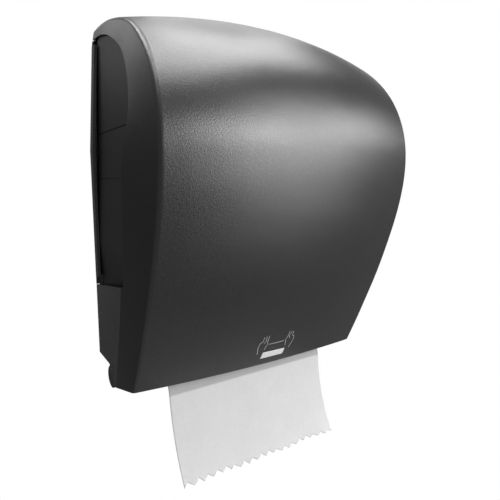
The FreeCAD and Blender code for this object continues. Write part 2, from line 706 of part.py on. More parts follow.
low_edge = slab("low_edge", [
    (FAR, 0), (s.lip_d, 0),
    (s.hinge_d + s.hinge_boss_r + 3, s.hinge_z - s.hinge_boss_r / 2),
    (s.hinge_d + 4, s.hinge_z + 3), (s.hinge_d - 1.5, s.slant_front_z),
    (-FAR, s.slant_rear_z), (-FAR, -FAR), (FAR, -FAR)], -FAR, FAR)
rear_edge = block("rear_edge", -FAR, FAR, -FAR, s.wall_clear, -FAR, 2 * FAR)
bosses = []
bores = []
for name, side in SIDES:
    boss_in = s.rear_half_width - s.hinge_boss_len
    bosses.append(rod("hinge_boss_" + name, s.hinge_boss_r,
                      *between(side, boss_in, s.rear_half_width), s.hinge_d, s.hinge_z))
    bores.append(rod("hinge_bore_" + name, s.hinge_pin_r + s.fit_gap,
                     *between(side, boss_in - 1, s.rear_half_width - 2), s.hinge_d, s.hinge_z))


lock_seat_z = s.crease_rear_z + s.bulge_top - s.lock_sink
lock_tube = upright("lock_tube", s.lock_tube_r, s.lock_tube_low_z, lock_seat_z, 0, s.lock_d)
lock_bore = upright("lock_bore", s.lock_barrel_r + s.fit_gap, s.lock_tube_low_z - 1,
                    lock_seat_z + HOLE_RUN, 0, s.lock_d)
lock_recess = upright("lock_recess", s.lock_head_r + s.air_gap, lock_seat_z,
                      lock_seat_z + HOLE_RUN, 0, s.lock_d)
trimmed = cut("trimmed_shell", cover_shell, fuse("cover_trims", [scoop_cutter, low_edge, rear_edge]))
built_up = fuse("cover_built_up", [trimmed, lock_tube] + bosses)
node("cover", cut("cover_cut", built_up, fuse("cover_holes", bores + [lock_bore, lock_recess])))


# ---------------------------------------------------------------- shared shapes ---------
def stud(name, radius, x, z, d_from, d_to):
    """A round bar standing out from the wall."""
    made = doc.addObject("Part::Cylinder", name)
    bind(made, "Radius", radius)
    bind(made, "Height", lift(d_to) - d_from)
    made.Placement = Placement(Vector(), Rotation(Vector(1, 0, 0), 90))
    place(made, x, d_from, z)
    return made


def plan(name, points, z_from, z_to):
    """An upright plate from an outline in x and depth."""
    owner = body(name)
    profile = sketch(owner, "XY_Plane")
    outline(profile, [(x, -lift(d)) for x, d in points])
    pad(owner, profile, lift(z_to) - z_from)
    place(owner, 0, 0, z_from)
    return owner


def wall_screw_set(name, places):
    """Small screws driven towards the wall; each place is x, z and the seat's depth."""
    shapes = []
    for k, (x, z, seat) in enumerate(places):
        seat = lift(seat)
        shapes.append(fuse("%s_%d" % (name, k), [
            stud("%s_shank_%d" % (name, k), s.bolt_r, x, z, seat - s.plate_thick - s.side_thick, seat),
            stud("%s_head_%d" % (name, k), s.bolt_head_r, x, z, seat, seat + s.bolt_head_h)]))
    return node(name, group(name, shapes))


def wall_screw_holes(name, places):
    """The holes for them, through everything between the wall and their heads."""
    return [stud("%s_%d" % (name, k), s.bolt_r, x, z, -1, lift(seat) + 1)
            for k, (x, z, seat) in enumerate(places)]


def round_end_plate(name, end_a, r_a, end_b, r_b, x_from, x_to):
    """A plate along X with two round ends joined by straight flanks."""
    a, b = end_a, end_b
    along = Vector(b[0].value - a[0].value, b[1].value - a[1].value, 0)
    side = Vector(-along.y, along.x, 0).normalize()
    flanks = []
    for point, radius in ((a, r_a), (b, r_b)):
        for sign in (1, -1):
            flanks.append((point[0] + sign * side.x * lift(radius),
                           point[1] + sign * side.y * lift(radius)))
    corners = [flanks[0], flanks[2], flanks[3], flanks[1]]
    return fuse(name, [slab(name + "_flank", corners, x_from, x_to),
                       rod(name + "_end_a", r_a, x_from, x_to, *a),
                       rod(name + "_end_b", r_b, x_from, x_to, *b)])


# ---------------------------------------------------------------- back plate ------------
plate_profile = [(s.plate_low_half, s.plate_low_z), (s.plate_low_half, s.plate_step_z),
                 (s.plate_half, s.plate_step_z), (s.plate_half, s.plate_taper_z),
                 (s.plate_top_half, s.plate_top_z)]
inner_profile = [(s.plate_low_half - s.rim_thick, s.plate_low_z + s.rim_thick),
                 (s.plate_low_half - s.rim_thick, s.plate_step_z + s.rim_thick),
                 (s.plate_half - s.rim_thick, s.plate_step_z + s.rim_thick),
                 (s.plate_half - s.rim_thick, s.plate_taper_z),
                 (s.plate_top_half - s.rim_thick, s.plate_top_z - s.rim_thick)]


def both_sides(points):
    """An outline in x and z completed by its mirror image."""
    return points + [(-lift(x), z) for x, z in reversed(points)]


screw_places = [(x * s.screw_pitch_x, s.mount_rise + z * s.screw_pitch_z)
                for x in (-0.5, 0.5) for z in (-0.5, 0.5)]
plate_sheet = body("plate_sheet")
plate_outline = sketch(plate_sheet, "XZ_Plane")
outline(plate_outline, both_sides(plate_profile))
pad(plate_sheet, plate_outline, s.plate_rim)
plate_floor = sketch(plate_sheet, "XZ_Plane", s.plate_rim)
outline(plate_floor, both_sides(inner_profile))
pocket(plate_sheet, plate_floor, s.plate_rim - s.plate_thick)
plate_pads = sketch(plate_sheet, "XZ_Plane", s.plate_thick)
for x, z in screw_places:
    circle(plate_pads, x, z, s.screw_pad_r)
pad(plate_sheet, plate_pads, s.screw_pad_h)
plate_ribs = sketch(plate_sheet, "XZ_Plane", s.plate_thick)
for side in (-1, 1):
    rib_in, rib_out = between(side, s.rib_x, s.rib_x + s.rib_thick)
    outline(plate_ribs, [(rib_in, s.plate_low_z + 1), (rib_out, s.plate_low_z + 1),
                         (rib_out, s.plate_top_z - 1), (rib_in, s.plate_top_z - 1)])
pad(plate_sheet, plate_ribs, s.rib_height)
plate_holes = sketch(plate_sheet, "XZ_Plane", s.plate_thick + s.screw_pad_h)
for x, z in screw_places:
    circle(plate_holes, x, z, s.screw_hole_r)
pocket(plate_sheet, plate_holes, s.plate_thick + s.screw_pad_h + 1)
place(plate_sheet)

eyes = []
eye_bores = []
for name, side in SIDES:
    eye_out = s.rear_half_width - s.hinge_boss_len - s.hinge_side_gap
    eye_x = between(side, eye_out - s.hinge_eye_len, eye_out)
    eyes.append(slab("eye_bracket_" + name, [
        (s.plate_thick - s.root_lap, s.plate_low_z + s.bracket_low),
        (s.plate_thick - s.root_lap, s.plate_low_z + s.bracket_high),
        (s.hinge_d / 3, s.plate_low_z + s.bracket_high),
        (s.hinge_d + s.hinge_eye_r - 1.5, s.hinge_z + 5),
        (s.hinge_d, s.hinge_z), (s.hinge_d - s.hinge_eye_r + 2, s.slant_front_z + 2)], *eye_x))
    eyes.append(rod("eye_" + name, s.hinge_eye_r, *eye_x, s.hinge_d, s.hinge_z))
    eye_bores.append(rod("eye_bore_" + name, s.hinge_pin_r, eye_x[0] - 1, eye_x[1] + 1,
                         s.hinge_d, s.hinge_z))

arm_out = s.paper_width / 2 + s.arm_gap + s.arm_thick
arm_pin_x = -(arm_out + s.arm_pin_out)
knuckles = []
for name, z_from in (("low", s.roll_z - s.knuckle_half - s.knuckle_len),
                     ("high", s.roll_z + s.knuckle_half)):
    knuckles.append(upright("knuckle_" + name, s.knuckle_r, z_from, z_from + s.knuckle_len,
                            arm_pin_x, s.arm_pin_d))
    knuckles.append(block("knuckle_foot_" + name, arm_pin_x - s.knuckle_r,
                          arm_pin_x + s.knuckle_r, s.plate_thick - s.root_lap, s.arm_pin_d,
                          z_from, z_from + s.knuckle_len))
knuckle_bore = upright("knuckle_bore", s.arm_pin_r, s.roll_z - 40, s.roll_z + 40,
                       arm_pin_x, s.arm_pin_d)

foot_seat = s.plate_thick + s.side_thick
side_places = [(side * (s.foot_x + s.foot_screw_in), z + s.foot_height / 2, foot_seat)
               for _, side in SIDES for z in (s.foot_low_z, s.foot_mid_z, s.foot_top_z)]
flange_seat = s.plate_thick + s.frame_thick
frame_places = [(side * (s.frame_x + s.frame_thick + 5), z, flange_seat)
                for _, side in SIDES for z in (s.flange_low_z + 10, s.flange_top_z - 9)]
arm_places = [(arm_out + s.arm_screw_out, s.roll_z + up * s.arm_screw_half, flange_seat)
              for up in (-1, 1)]
catch_places = [(side * s.catch_screw_half, s.catch_z - s.catch_screw_drop, flange_seat)
                for _, side in SIDES]
small_holes = wall_screw_holes("plate_hole", side_places + frame_places + arm_places + catch_places)
node("back_plate", cut("back_plate_cut", fuse("plate_built_up", [plate_sheet] + eyes + knuckles),
                       fuse("plate_bores", eye_bores + [knuckle_bore] + small_holes)))

wall_screw_set("side_wall_screws", side_places)
wall_screw_set("frame_screws", frame_places)
wall_screw_set("arm_screws", arm_places)
wall_screw_set("catch_screws", catch_places)


# ---------------------------------------------------------------- side walls ------------
def side_face(z, inset):
    """The side wall's outer face at one height: its x at the rear and at the front."""
    low = (s.side_low_x.value, s.side_low_x.value)
    ramp = (s.side_rear_x.value, s.side_front_x.value)
    top = (s.side_top_rear_x.value, s.side_top_front_x.value)
    heights = (s.side_flat_z.value, s.side_ramp_z.value, s.side_top_z.value)
    if z <= heights[0]:
        pair = low
    elif z <= heights[1]:
        part = (z - heights[0]) / (heights[1] - heights[0])
        pair = [a + (b - a) * part for a, b in zip(low, ramp)]
    else:
        part = (z - heights[1]) / (heights[2] - heights[1])
        pair = [a + (b - a) * part for a, b in zip(ramp, top)]
    return [x - inset for x in pair]


def flared_sheet(heights, inset, thick):
    """The right side wall, or a layer of it, between the given heights."""
    rear, front = s.plate_thick.value, s.side_front_d.value
    beyond = 1.12           # the sheet is drawn past that depth and then trimmed
    sections = []
    for z in heights:
        x_rear, x_front = side_face(z, inset)
        x_front = x_rear + (x_front - x_rear) * beyond
        reach = rear + (front - rear) * beyond
        corners = [Vector(x_rear, -rear, z), Vector(x_front, -reach, z),
                   Vector(x_front - thick, -reach, z), Vector(x_rear - thick, -rear, z)]
        sections.append(Part.makePolygon(corners + corners[:1]))
    return Part.makeLoft(sections, True, True)


wall_heights = [s.side_low_z.value, s.side_flat_z.value, s.side_ramp_z.value, s.crease_rear_z.value]
wall_sheet = flared_sheet(wall_heights, 0.0, s.side_thick.value)
upper_part = side_prism(scoop_wire(s.side_lap.value, -s.side_drop.value), -FAR, FAR)
flat_z = s.side_flat_z.value
low_front = s.scoop_low_d.value + s.side_lap.value
low_z = s.side_low_z.value
lap_z = flat_z + 8      # the lower part reaches into the upper one
low_corners = [(0, low_z), (low_front - s.low_corner_back.value, low_z),
               (low_front - s.low_corner_lean.value, low_z + s.low_corner_rise.value),
               (low_front, flat_z), (low_front, lap_z), (0, lap_z)]
low_wire = Part.makePolygon([Vector(0, -d, z) for d, z in low_corners + low_corners[:1]])
low_part = side_prism(low_wire, -FAR, FAR)
off_rim = s.plate_rim.value + s.side_off_rim.value
rim_room = Part.makeBox(2 * FAR, off_rim + FAR, flat_z + FAR, Vector(-FAR, -off_rim, -FAR))
rim_top = s.plate_top_z.value - s.rim_thick.value - s.side_off_rim.value
top_room = Part.makeBox(2 * FAR, off_rim + FAR, FAR, Vector(-FAR, -off_rim, rim_top))
wall_form = wall_sheet.common(upper_part.fuse(low_part)).cut(rim_room.fuse(top_room))
for seam in (s.seam_upper_z.value, s.seam_lower_z.value):
    half = s.seam_width.value / 2
    groove = flared_sheet([seam - half, seam + half], -4.0, 4.0 + s.seam_depth.value)
    wall_form = wall_form.cut(groove)
mirror = (Vector(), Vector(1, 0, 0))
for name, side in SIDES:
    form = wall_form if side > 0 else wall_form.mirror(*mirror)
    wall = coded("side_sheet_" + name, form)
    inner = s.side_low_x - s.side_thick
    low_foot = [(s.foot_x, s.plate_thick), (inner + 0.2, s.plate_thick),
                (inner + 0.2, off_rim), (s.side_low_x, off_rim),
                (s.side_low_x, off_rim + s.side_thick), (inner - 2.5, off_rim + s.side_thick),
                (inner - 2.5, foot_seat), (s.foot_x, foot_seat)]
    feet = [plan("foot_low_" + name, [(side * lift(x), d) for x, d in low_foot],
                 s.foot_low_z, s.foot_low_z + s.foot_height)]
    for level, z, x_out in (("mid", s.foot_mid_z, s.side_low_x - 0.5),
                            ("top", s.foot_top_z, s.side_top_rear_x - 1)):
        feet.append(block("foot_%s_%s" % (level, name), *between(side, s.foot_x, x_out),
                          s.plate_thick, foot_seat, z, z + s.foot_height))
    holes = [stud("foot_hole_%s_%d" % (name, k), s.bolt_r, x, z, -1, HOLE_RUN)
             for k, (x, z, _) in enumerate(side_places) if x.value * side > 0]
    node("side_wall_" + name, cut("side_wall_cut_" + name,
                                  fuse("side_wall_built_" + name, [wall] + feet),
                                  fuse("side_wall_holes_" + name, holes)))

# ---------------------------------------------------------------- hinge pins, lock ------
pins = []
for name, side in SIDES:
    head_out = s.rear_half_width - s.hinge_boss_len - s.hinge_side_gap - s.hinge_eye_len
    head_in = head_out - s.pin_head_h
    head_r = s.hinge_pin_r + s.pin_head_over
    pin_end = s.rear_half_width - 2.5
    profile = [(head_in, 0), (head_in, head_r), (head_out, head_r), (head_out, s.hinge_pin_r),
               (pin_end, s.hinge_pin_r), (pin_end, 0)]
    pin = turned("hinge_pin_" + name, [(side * lift(x), r) for x, r in profile])
    place(pin, 0, s.hinge_d, s.hinge_z)
    pins.append(pin)
node("hinge_pins", group("hinge_pins", pins))

lock_head = upright("lock_head", s.lock_head_r, lock_seat_z, lock_seat_z + s.lock_head_h, 0, s.lock_d)
lock_stem = upright("lock_stem", s.lock_barrel_r, s.lock_barrel_low_z, lock_seat_z, 0, s.lock_d)
key_slot = block("key_slot", -s.key_slot_width / 2, s.key_slot_width / 2,
                 s.lock_d - s.key_slot_length / 2, s.lock_d + s.key_slot_length / 2,
                 lock_seat_z + s.lock_head_h - s.key_slot_depth, lock_seat_z + s.lock_head_h + 1)
cam_top = s.lock_barrel_low_z - s.lock_cam_gap
cam_low = cam_top - s.lock_cam_thick
lock_thread = upright("lock_thread", s.bolt_r, cam_low - 1, s.lock_barrel_low_z + 6, 0, s.lock_d)
node("lock_barrel", cut("lock_barrel_cut", fuse("lock_barrel_full", [lock_head, lock_stem]),
                        fuse("lock_barrel_holes", [key_slot, lock_thread])))
cam_bar = block("lock_cam_bar", -s.lock_cam_width / 2, s.lock_cam_width / 2,
                s.lock_d - s.lock_cam_len, s.lock_d, cam_low, cam_top)
cam_hub = upright("lock_cam_hub", s.lock_hub_r, cam_low, s.lock_barrel_low_z, 0, s.lock_d)
cam_hole = upright("lock_cam_hole", s.bolt_r, cam_low - 2, s.lock_barrel_low_z + 2, 0, s.lock_d)
node("lock_cam", cut("lock_cam_cut", fuse("lock_cam_full", [cam_bar, cam_hub]), cam_hole))
node("lock_screw", fuse("lock_screw_full", [
    upright("lock_screw_head", s.bolt_head_r, cam_low - s.bolt_head_h, cam_low, 0, s.lock_d),
    upright("lock_screw_shank", s.bolt_r, cam_low, s.lock_barrel_low_z + 5, 0, s.lock_d)]))

lip_d = s.lock_d + s.lock_cam_width / 2 + s.catch_lip_gap
catch = fuse("catch_full", [
    block("catch_shelf", -s.catch_half, s.catch_half, s.plate_thick, lip_d + s.catch_lip_thick + 4,
          s.catch_z - s.catch_thick, s.catch_z),
    block("catch_lip", -s.catch_half + 1, -s.catch_mouth, lip_d, lip_d + s.catch_lip_thick,
          s.catch_z - s.root_lap, s.lock_barrel_low_z - 1.5),
    block("catch_foot", -s.catch_half, s.catch_half, s.plate_thick, flange_seat,
          s.catch_z - s.catch_foot, s.catch_z)])
catch_holes = [stud("catch_hole_%d" % k, s.bolt_r, x, z, -1, HOLE_RUN)
               for k, (x, z, _) in enumerate(catch_places)]
node("lock_catch", cut("catch_cut", catch, fuse("catch_holes", catch_holes)))

# ---------------------------------------------------------------- roll and arms ---------
roll_inner = s.core_r + s.fit_gap
half_roll = s.paper_width / 2
for name, outer, inner in (("roll_core", s.core_r, s.core_r - s.core_wall),
                           ("towel_roll", s.roll_r, roll_inner)):
    node(name, cut(name + "_cut",
                   rod(name + "_full", outer, -half_roll, half_roll, s.roll_d, s.roll_z),
                   rod(name + "_hole", inner, -half_roll - 1, half_roll + 1, s.roll_d, s.roll_z)))

arm_in = arm_out - s.arm_thick
plug_r = s.core_r - s.core_wall - s.plug_gap
plug_profile = [(arm_in, 0), (arm_in, s.plug_flange_r), (arm_in - s.plug_flange, s.plug_flange_r),
                (arm_in - s.plug_flange, plug_r), (half_roll, plug_r),
                (arm_in - s.plug_len, plug_r - s.plug_taper),
                (arm_in - s.plug_len - 2.5, s.plug_nose_r), (arm_in - s.plug_len - 2.5, 0)]
for name, side in SIDES:
    plug = turned("core_plug_" + name, [(side * lift(x), r) for x, r in plug_profile])
    place(plug, 0, s.roll_d, s.roll_z)
    node("core_plug_" + name, plug)
    arm_x = between(side, arm_in, arm_out)
    rib_x = between(side, arm_out - s.root_lap, arm_out + s.arm_rib)
    neck_d = s.arm_pin_d + s.knuckle_r + 2
    root_d = s.plate_thick if side > 0 else neck_d + 6
    shapes = [slab("arm_web_" + name, [
        (root_d, s.roll_z - s.arm_root_half), (root_d, s.roll_z + s.arm_root_half),
        (s.roll_d - 4, s.roll_z + s.arm_tip_r - 0.5), (s.roll_d - 4, s.roll_z - s.arm_tip_r + 0.5)],
        *arm_x),
        rod("arm_tip_" + name, s.arm_tip_r, *arm_x, s.roll_d, s.roll_z),
        block("arm_spine_" + name, *rib_x, neck_d if side < 0 else s.plate_thick, s.roll_d,
              s.roll_z - s.arm_rib / 2, s.roll_z + s.arm_rib / 2),
        rod("arm_boss_" + name, s.plug_nose_r, *rib_x, s.roll_d, s.roll_z)]
    if side > 0:
        shapes.append(block("arm_foot", arm_out - s.root_lap, arm_out + s.arm_foot, s.plate_thick,
                            flange_seat, s.roll_z - s.arm_root_half, s.roll_z + s.arm_root_half))
        holes = [stud("arm_hole_%d" % k, s.bolt_r, x, z, -1, HOLE_RUN)
                 for k, (x, z, _) in enumerate(arm_places)]
    else:
        lug_half = s.knuckle_half - s.air_gap
        shapes += [
            block("arm_neck", *arm_x, s.arm_pin_d - s.knuckle_r, neck_d + 7,
                  s.roll_z - lug_half, s.roll_z + lug_half),
            block("arm_neck_side", arm_pin_x, arm_x[0] + 1, s.arm_pin_d - s.knuckle_r + 1, neck_d + 3,
                  s.roll_z - lug_half, s.roll_z + lug_half),
            upright("arm_lug", s.knuckle_r, s.roll_z - lug_half, s.roll_z + lug_half,
                    arm_pin_x, s.arm_pin_d)]
        holes = [upright("arm_bore", s.arm_pin_r + s.fit_gap, s.roll_z - 12, s.roll_z + 12,
                         arm_pin_x, s.arm_pin_d)]
    node("roll_arm_" + name, cut("arm_cut_" + name, fuse("arm_full_" + name, shapes),
                                 fuse("arm_holes_" + name, holes)))
pin_low = s.roll_z - s.knuckle_half - s.knuckle_len - 1
pin_top = s.roll_z + s.knuckle_half + s.knuckle_len
node("arm_pivot_pin", fuse("arm_pin_full", [
    upright("arm_pin", s.arm_pin_r, pin_low, pin_top, arm_pin_x, s.arm_pin_d),
    upright("arm_pin_head", s.arm_pin_r + s.pin_head_over, pin_top, pin_top + s.pin_head_h,
            arm_pin_x, s.arm_pin_d)]))

# ---------------------------------------------------------------- cutting drum ----------
GROOVES = (-2, -1, 0, 1, 2)
GRIPS = (-1.5, -0.5, 0.5, 1.5)
WEBS = (-1, 0, 1)


def drum_outline():
    """The drum's half section in x and radius: grooves and grip seats outside, webs inside."""
    steps = [(k * s.groove_pitch, s.groove_width / 2, s.drum_r - s.groove_depth) for k in GROOVES]
    steps += [(k * s.groove_pitch, s.grip_width / 2, s.drum_r - s.grip_depth) for k in GRIPS]
    steps.sort(key=lambda step: step[0].value)
    points = [(-s.drum_half_len, s.drum_r)]
    for middle, half, radius in steps:
        points += [(middle - half, s.drum_r), (middle - half, radius),
                   (middle + half, radius), (middle + half, s.drum_r)]
    points.append((s.drum_half_len, s.drum_r))
    inside = s.drum_r - s.drum_wall
    points.append((s.drum_half_len, inside))
    for k in reversed(WEBS):
        middle, half = k * s.web_pitch, s.web_thick / 2
        points += [(middle + half, inside), (middle + half, s.shaft_r),
                   (middle - half, s.shaft_r), (middle - half, inside)]
    points.append((-s.drum_half_len, inside))
    return points


drum_at = (s.drum_d, s.drum_z)
reach = s.drum_r + 5
halves = {"upper": (s.drum_z, s.drum_z + reach), "lower": (s.drum_z - reach, s.drum_z)}
slot_half = s.paper_width / 2 + 2
knife_slot = block("knife_slot", -slot_half, slot_half, s.drum_d - s.slot_rear,
                   s.drum_d + s.slot_front, s.drum_z - reach - 1, s.drum_z - 12)
knife_room = block("knife_room", -slot_half, slot_half, s.drum_d - s.knife_back - 7,
                   s.drum_d + s.slot_front + 3, s.drum_z - s.drum_r + s.drum_wall + 0.5,
                   s.drum_z - 9)
inside_drum = rod("inside_drum", s.drum_r - s.drum_wall, -slot_half, slot_half, *drum_at)
knife_notch = common("knife_notch", knife_room, inside_drum)
for name, (z_from, z_to) in halves.items():
    skin = turned("drum_skin_" + name, drum_outline())
    place(skin, 0, *drum_at)
    half_space = block("half_space_" + name, -s.drum_half_len - 1, s.drum_half_len + 1,
                       s.drum_d - reach, s.drum_d + reach, z_from, z_to)
    half_drum = common("drum_half_" + name, skin, half_space)
    if name == "lower":
        half_drum = cut("drum_slotted", half_drum, fuse("drum_openings", [knife_slot, knife_notch]))
    node("drum_" + name, half_drum)

frame_out = s.frame_x + s.frame_thick
knob_end = frame_out + s.crank_off + s.knob_len
crank_end = frame_out + s.crank_off + s.crank_thick
node("drum_shaft", rod("drum_shaft", s.shaft_r, -(knob_end + 0.5), crank_end + 2, *drum_at))
knife_at = (s.drum_d - s.knife_back, s.drum_z - s.knife_drop)
for name, side in SIDES:
    disc_x = between(side, s.drum_half_len, s.drum_half_len + s.end_disc)
    disc = rod("end_disc_" + name, s.end_disc_r, *disc_x, *drum_at)
    holes = [rod("disc_shaft_hole_" + name, s.shaft_r, disc_x[0] - 1, disc_x[1] + 1, *drum_at),
             rod("disc_pin_hole_" + name, s.knife_pin_r + s.fit_gap, disc_x[0] - 1,
                 disc_x[1] + 1, *knife_at)]
    node("drum_end_" + name, cut("drum_end_cut_" + name, disc, fuse("disc_holes_" + name, holes)))

grips = []
for k in GRIPS:
    low_x = k * s.groove_pitch - s.grip_width / 2
    high_x = k * s.groove_pitch + s.grip_width / 2
    name = "grip_%d" % len(grips)
    ring = cut(name + "_ring", rod(name + "_out", s.drum_r, low_x, high_x, *drum_at),
               rod(name + "_in", s.drum_r - s.grip_depth, low_x - 1, high_x + 1, *drum_at))
    opening = block(name + "_gap", low_x - 1, high_x + 1, s.drum_d - s.slot_rear,
                    s.drum_d + s.slot_front, s.drum_z - reach, s.drum_z)
    grips.append(cut(name, ring, opening))
node("drum_grips", group("drum_grips", grips))

# ---------------------------------------------------------------- knife -----------------
TEETH = 18
boss_end = s.drum_half_len - 0.5
half_blade = s.paper_width / 2
blade_top = s.drum_z - s.blade_top_drop
blade_low = s.drum_z - s.blade_tip
blade = body("blade")
blade_outline = sketch(blade, "XZ_Plane", s.drum_d - s.blade_thick / 2)
blade_points = [(half_blade, blade_top), (-half_blade, blade_top)]
for k in range(TEETH):
    blade_points.append((s.paper_width * (k / float(TEETH)) - half_blade,
                         blade_low + s.tooth_depth))
    blade_points.append((s.paper_width * ((k + 0.5) / TEETH) - half_blade, blade_low))
blade_points.append((half_blade, blade_low + s.tooth_depth))
outline(blade_outline, blade_points)
pad(blade, blade_outline, s.blade_thick)
place(blade)

link_x = -(s.drum_half_len + s.end_disc + s.follower_out)
carrier_face = s.drum_d - s.blade_thick / 2
carrier_back = carrier_face - s.carrier_thick
carrier = fuse("carrier_full", [
    rod("carrier_boss", s.knife_boss_r, -boss_end, boss_end, *knife_at),
    slab("carrier_web", [
        (knife_at[0] - 1, knife_at[1] + 3.5), (knife_at[0] + 1.5, knife_at[1] + 1.5),
        (carrier_back, blade_top - 2.5), (carrier_back, blade_low + s.tooth_depth + 3),
        (carrier_face, blade_low + s.tooth_depth + 3), (carrier_face, blade_top),
        (carrier_back, blade_top)], -half_blade, half_blade),
    rod("carrier_pin_left", s.knife_pin_r, link_x, s.root_lap - boss_end, *knife_at),
    rod("carrier_pin_right", s.knife_pin_r, boss_end - s.root_lap, s.drum_half_len + s.end_disc,
        *knife_at)])
knife_screw_x = [k * s.paper_width / 6 for k in (-2.5, -1.5, -0.5, 0.5, 1.5, 2.5)]
knife_screw_z = blade_top - s.blade_screw_drop
blade_face = carrier_face + s.blade_thick
screw_holes = []
screws = []
for k, x in enumerate(knife_screw_x):
    screw_holes.append(stud("blade_hole_%d" % k, s.blade_screw_r, x, knife_screw_z,
                            carrier_back - 2, carrier_face + 4))
    screws.append(fuse("blade_screw_%d" % k, [
        stud("blade_screw_shank_%d" % k, s.blade_screw_r, x, knife_screw_z, carrier_back, blade_face),
        stud("blade_screw_head_%d" % k, s.blade_screw_head_r, x, knife_screw_z, blade_face,
             blade_face + s.blade_screw_head_h)]))
all_screw_holes = fuse("blade_holes", screw_holes)
node("knife_carrier", cut("carrier_cut", carrier, all_screw_holes))
node("knife_blade", cut("blade_cut", blade, all_screw_holes))
node("knife_screws", group("knife_screws", screws))

follower_at = (s.drum_d - s.follower_back, s.drum_z - s.follower_drop)
follower_arm = round_end_plate("follower_arm", knife_at, s.knife_boss_r, follower_at, s.follower_r,
                               link_x, link_x + s.follower_thick)
follower_pin = rod("follower_pin", s.follower_r, link_x - s.follower_pin_len, link_x, *follower_at)
follower_hole = rod("follower_hole", s.knife_pin_r + s.fit_gap, link_x - 1, link_x + 3, *knife_at)
node("cam_follower", cut("follower_cut", fuse("follower_full", [follower_arm, follower_pin]),
                         follower_hole))
ring_x = (-s.frame_x, s.cam_thick - s.frame_x)
cam_room = common("cam_room",
                  rod("cam_circle", s.cam_in_r, ring_x[0] - 1, ring_x[1] + 1, *drum_at),
                  rod("cam_offset", s.cam_in_r, ring_x[0] - 1, ring_x[1] + 1,
                      s.drum_d - s.cam_lobe, s.drum_z))
node("cam_ring", cut("cam_ring_cut", rod("cam_disc", s.cam_out_r, *ring_x, *drum_at), cam_room))

# ---------------------------------------------------------------- drum module frames ----
tie_places = [(s.tie_low_d, s.tie_low_z), (s.tie_high_d, s.tie_high_z)]
cradle_at = (s.cradle_pin_d, s.cradle_pin_z)
tie_edge_d = s.tie_high_d + 10
frame_corners = [(s.plate_thick, s.tie_low_z - 16), (s.tie_low_d + 20, s.tie_low_z - 26),
                 (s.chute_rear_d - 8, s.chute_front_low_z - 2),
                 (s.chute_front_d + 2, s.chute_front_low_z),
                 (s.chute_front_d + 2, s.chute_front_z + 4), (tie_edge_d - 4, s.tie_high_z - 18),
                 (tie_edge_d, s.tie_high_z - 10), (tie_edge_d, s.tie_high_z + 8),
                 (s.cradle_pin_d, s.cradle_pin_z + 12), (s.bar_d - 6, s.bar_z + 14),
                 (s.plate_thick, s.flange_top_z + 2)]
ear_mid = ((s.box_rear_d - s.box_ear / 2, s.box_front_d + s.box_ear / 2),
           (s.box_low_z + s.box_ear_in + s.box_ear_high / 2,
            s.box_top_z - s.box_ear_in - s.box_ear_high / 2))
box_screw_at = [(d, z) for d in ear_mid[0] for z in ear_mid[1]]
for name, side in SIDES:
    frame_x = between(side, s.frame_x, frame_out)
    flange_x = between(side, frame_out - s.root_lap, frame_out + s.frame_flange)
    full = fuse("frame_full_" + name, [
        slab("frame_web_" + name, frame_corners, *frame_x),
        block("frame_flange_" + name, *flange_x, s.plate_thick, flange_seat,
              s.flange_low_z, s.flange_top_z)])
    through = (frame_x[0] - 1, frame_x[1] + 1)
    holes = [rod("bush_hole_" + name, s.bush_r, *through, *drum_at),
             rod("cradle_hole_" + name, s.cradle_pin_r, *through, *cradle_at)]
    holes += [stud("flange_hole_%s_%d" % (name, k), s.bolt_r, x, z, -1, HOLE_RUN)
              for k, (x, z, _) in enumerate(frame_places) if x.value * side > 0]
    if side > 0:
        holes += [rod("box_hole_%d" % k, s.bolt_r, *through, *at_place)
                  for k, at_place in enumerate(box_screw_at)]
        holes.append(rod("post_hole", s.post_r, *through, s.post_d, s.post_z))
    node("frame_" + name, cut("frame_cut_" + name, full, fuse("frame_holes_" + name, holes)))

node("frame_tie_bars", group("frame_tie_bars", [
    rod("tie_bar_%d" % k, s.tie_r, -s.frame_x, s.frame_x, *at_place)
    for k, at_place in enumerate(tie_places)]))
bar_at = (s.bar_d, s.bar_z)
node("paper_guide_bar", rod("paper_guide_bar", s.bar_r, -s.frame_x, s.frame_x, *bar_at))

bushes = []
for name, side in SIDES:
    profile = [(s.frame_x - s.bush_flange, s.shaft_r + s.fit_gap),
               (s.frame_x - s.bush_flange, s.bush_flange_r), (s.frame_x, s.bush_flange_r),
               (s.frame_x, s.bush_r), (frame_out, s.bush_r), (frame_out, s.shaft_r + s.fit_gap)]
    bush = turned("bush_" + name, [(side * lift(x), r) for x, r in profile])
    place(bush, 0, *drum_at)
    bushes.append(bush)
node("drum_bushes", group("drum_bushes", bushes))

# ---------------------------------------------------------------- pinch roller ----------
pinch_reach = s.drum_r + s.pinch_nip + s.pinch_r
pinch_at = (s.drum_d + pinch_reach * cos_of(s.pinch_angle),
            s.drum_z + pinch_reach * sin_of(s.pinch_angle))
ear_in = s.cradle_ear_x
ear_out = s.cradle_ear_x + s.cradle_ear
ears = []
ear_holes = []
pivot_pins = []
springs = []
for name, side in SIDES:
    ear_x = between(side, ear_in, ear_out)
    ears.append(round_end_plate("cradle_ear_" + name, cradle_at, s.cradle_round, pinch_at,
                                s.cradle_round, *ear_x))
    ear_holes += [rod("ear_pin_hole_" + name, s.cradle_pin_r + s.fit_gap, ear_x[0] - 1,
                      ear_x[1] + 1, *cradle_at),
                  rod("ear_shaft_hole_" + name, s.pinch_shaft_r + s.fit_gap, ear_x[0] - 1,
                      ear_x[1] + 1, *pinch_at)]
    pivot_pins.append(rod("pivot_pin_" + name, s.cradle_pin_r,
                          *between(side, ear_in - 2, frame_out), *cradle_at))
cradle_bar_d = s.cradle_pin_d + s.cradle_bar_in
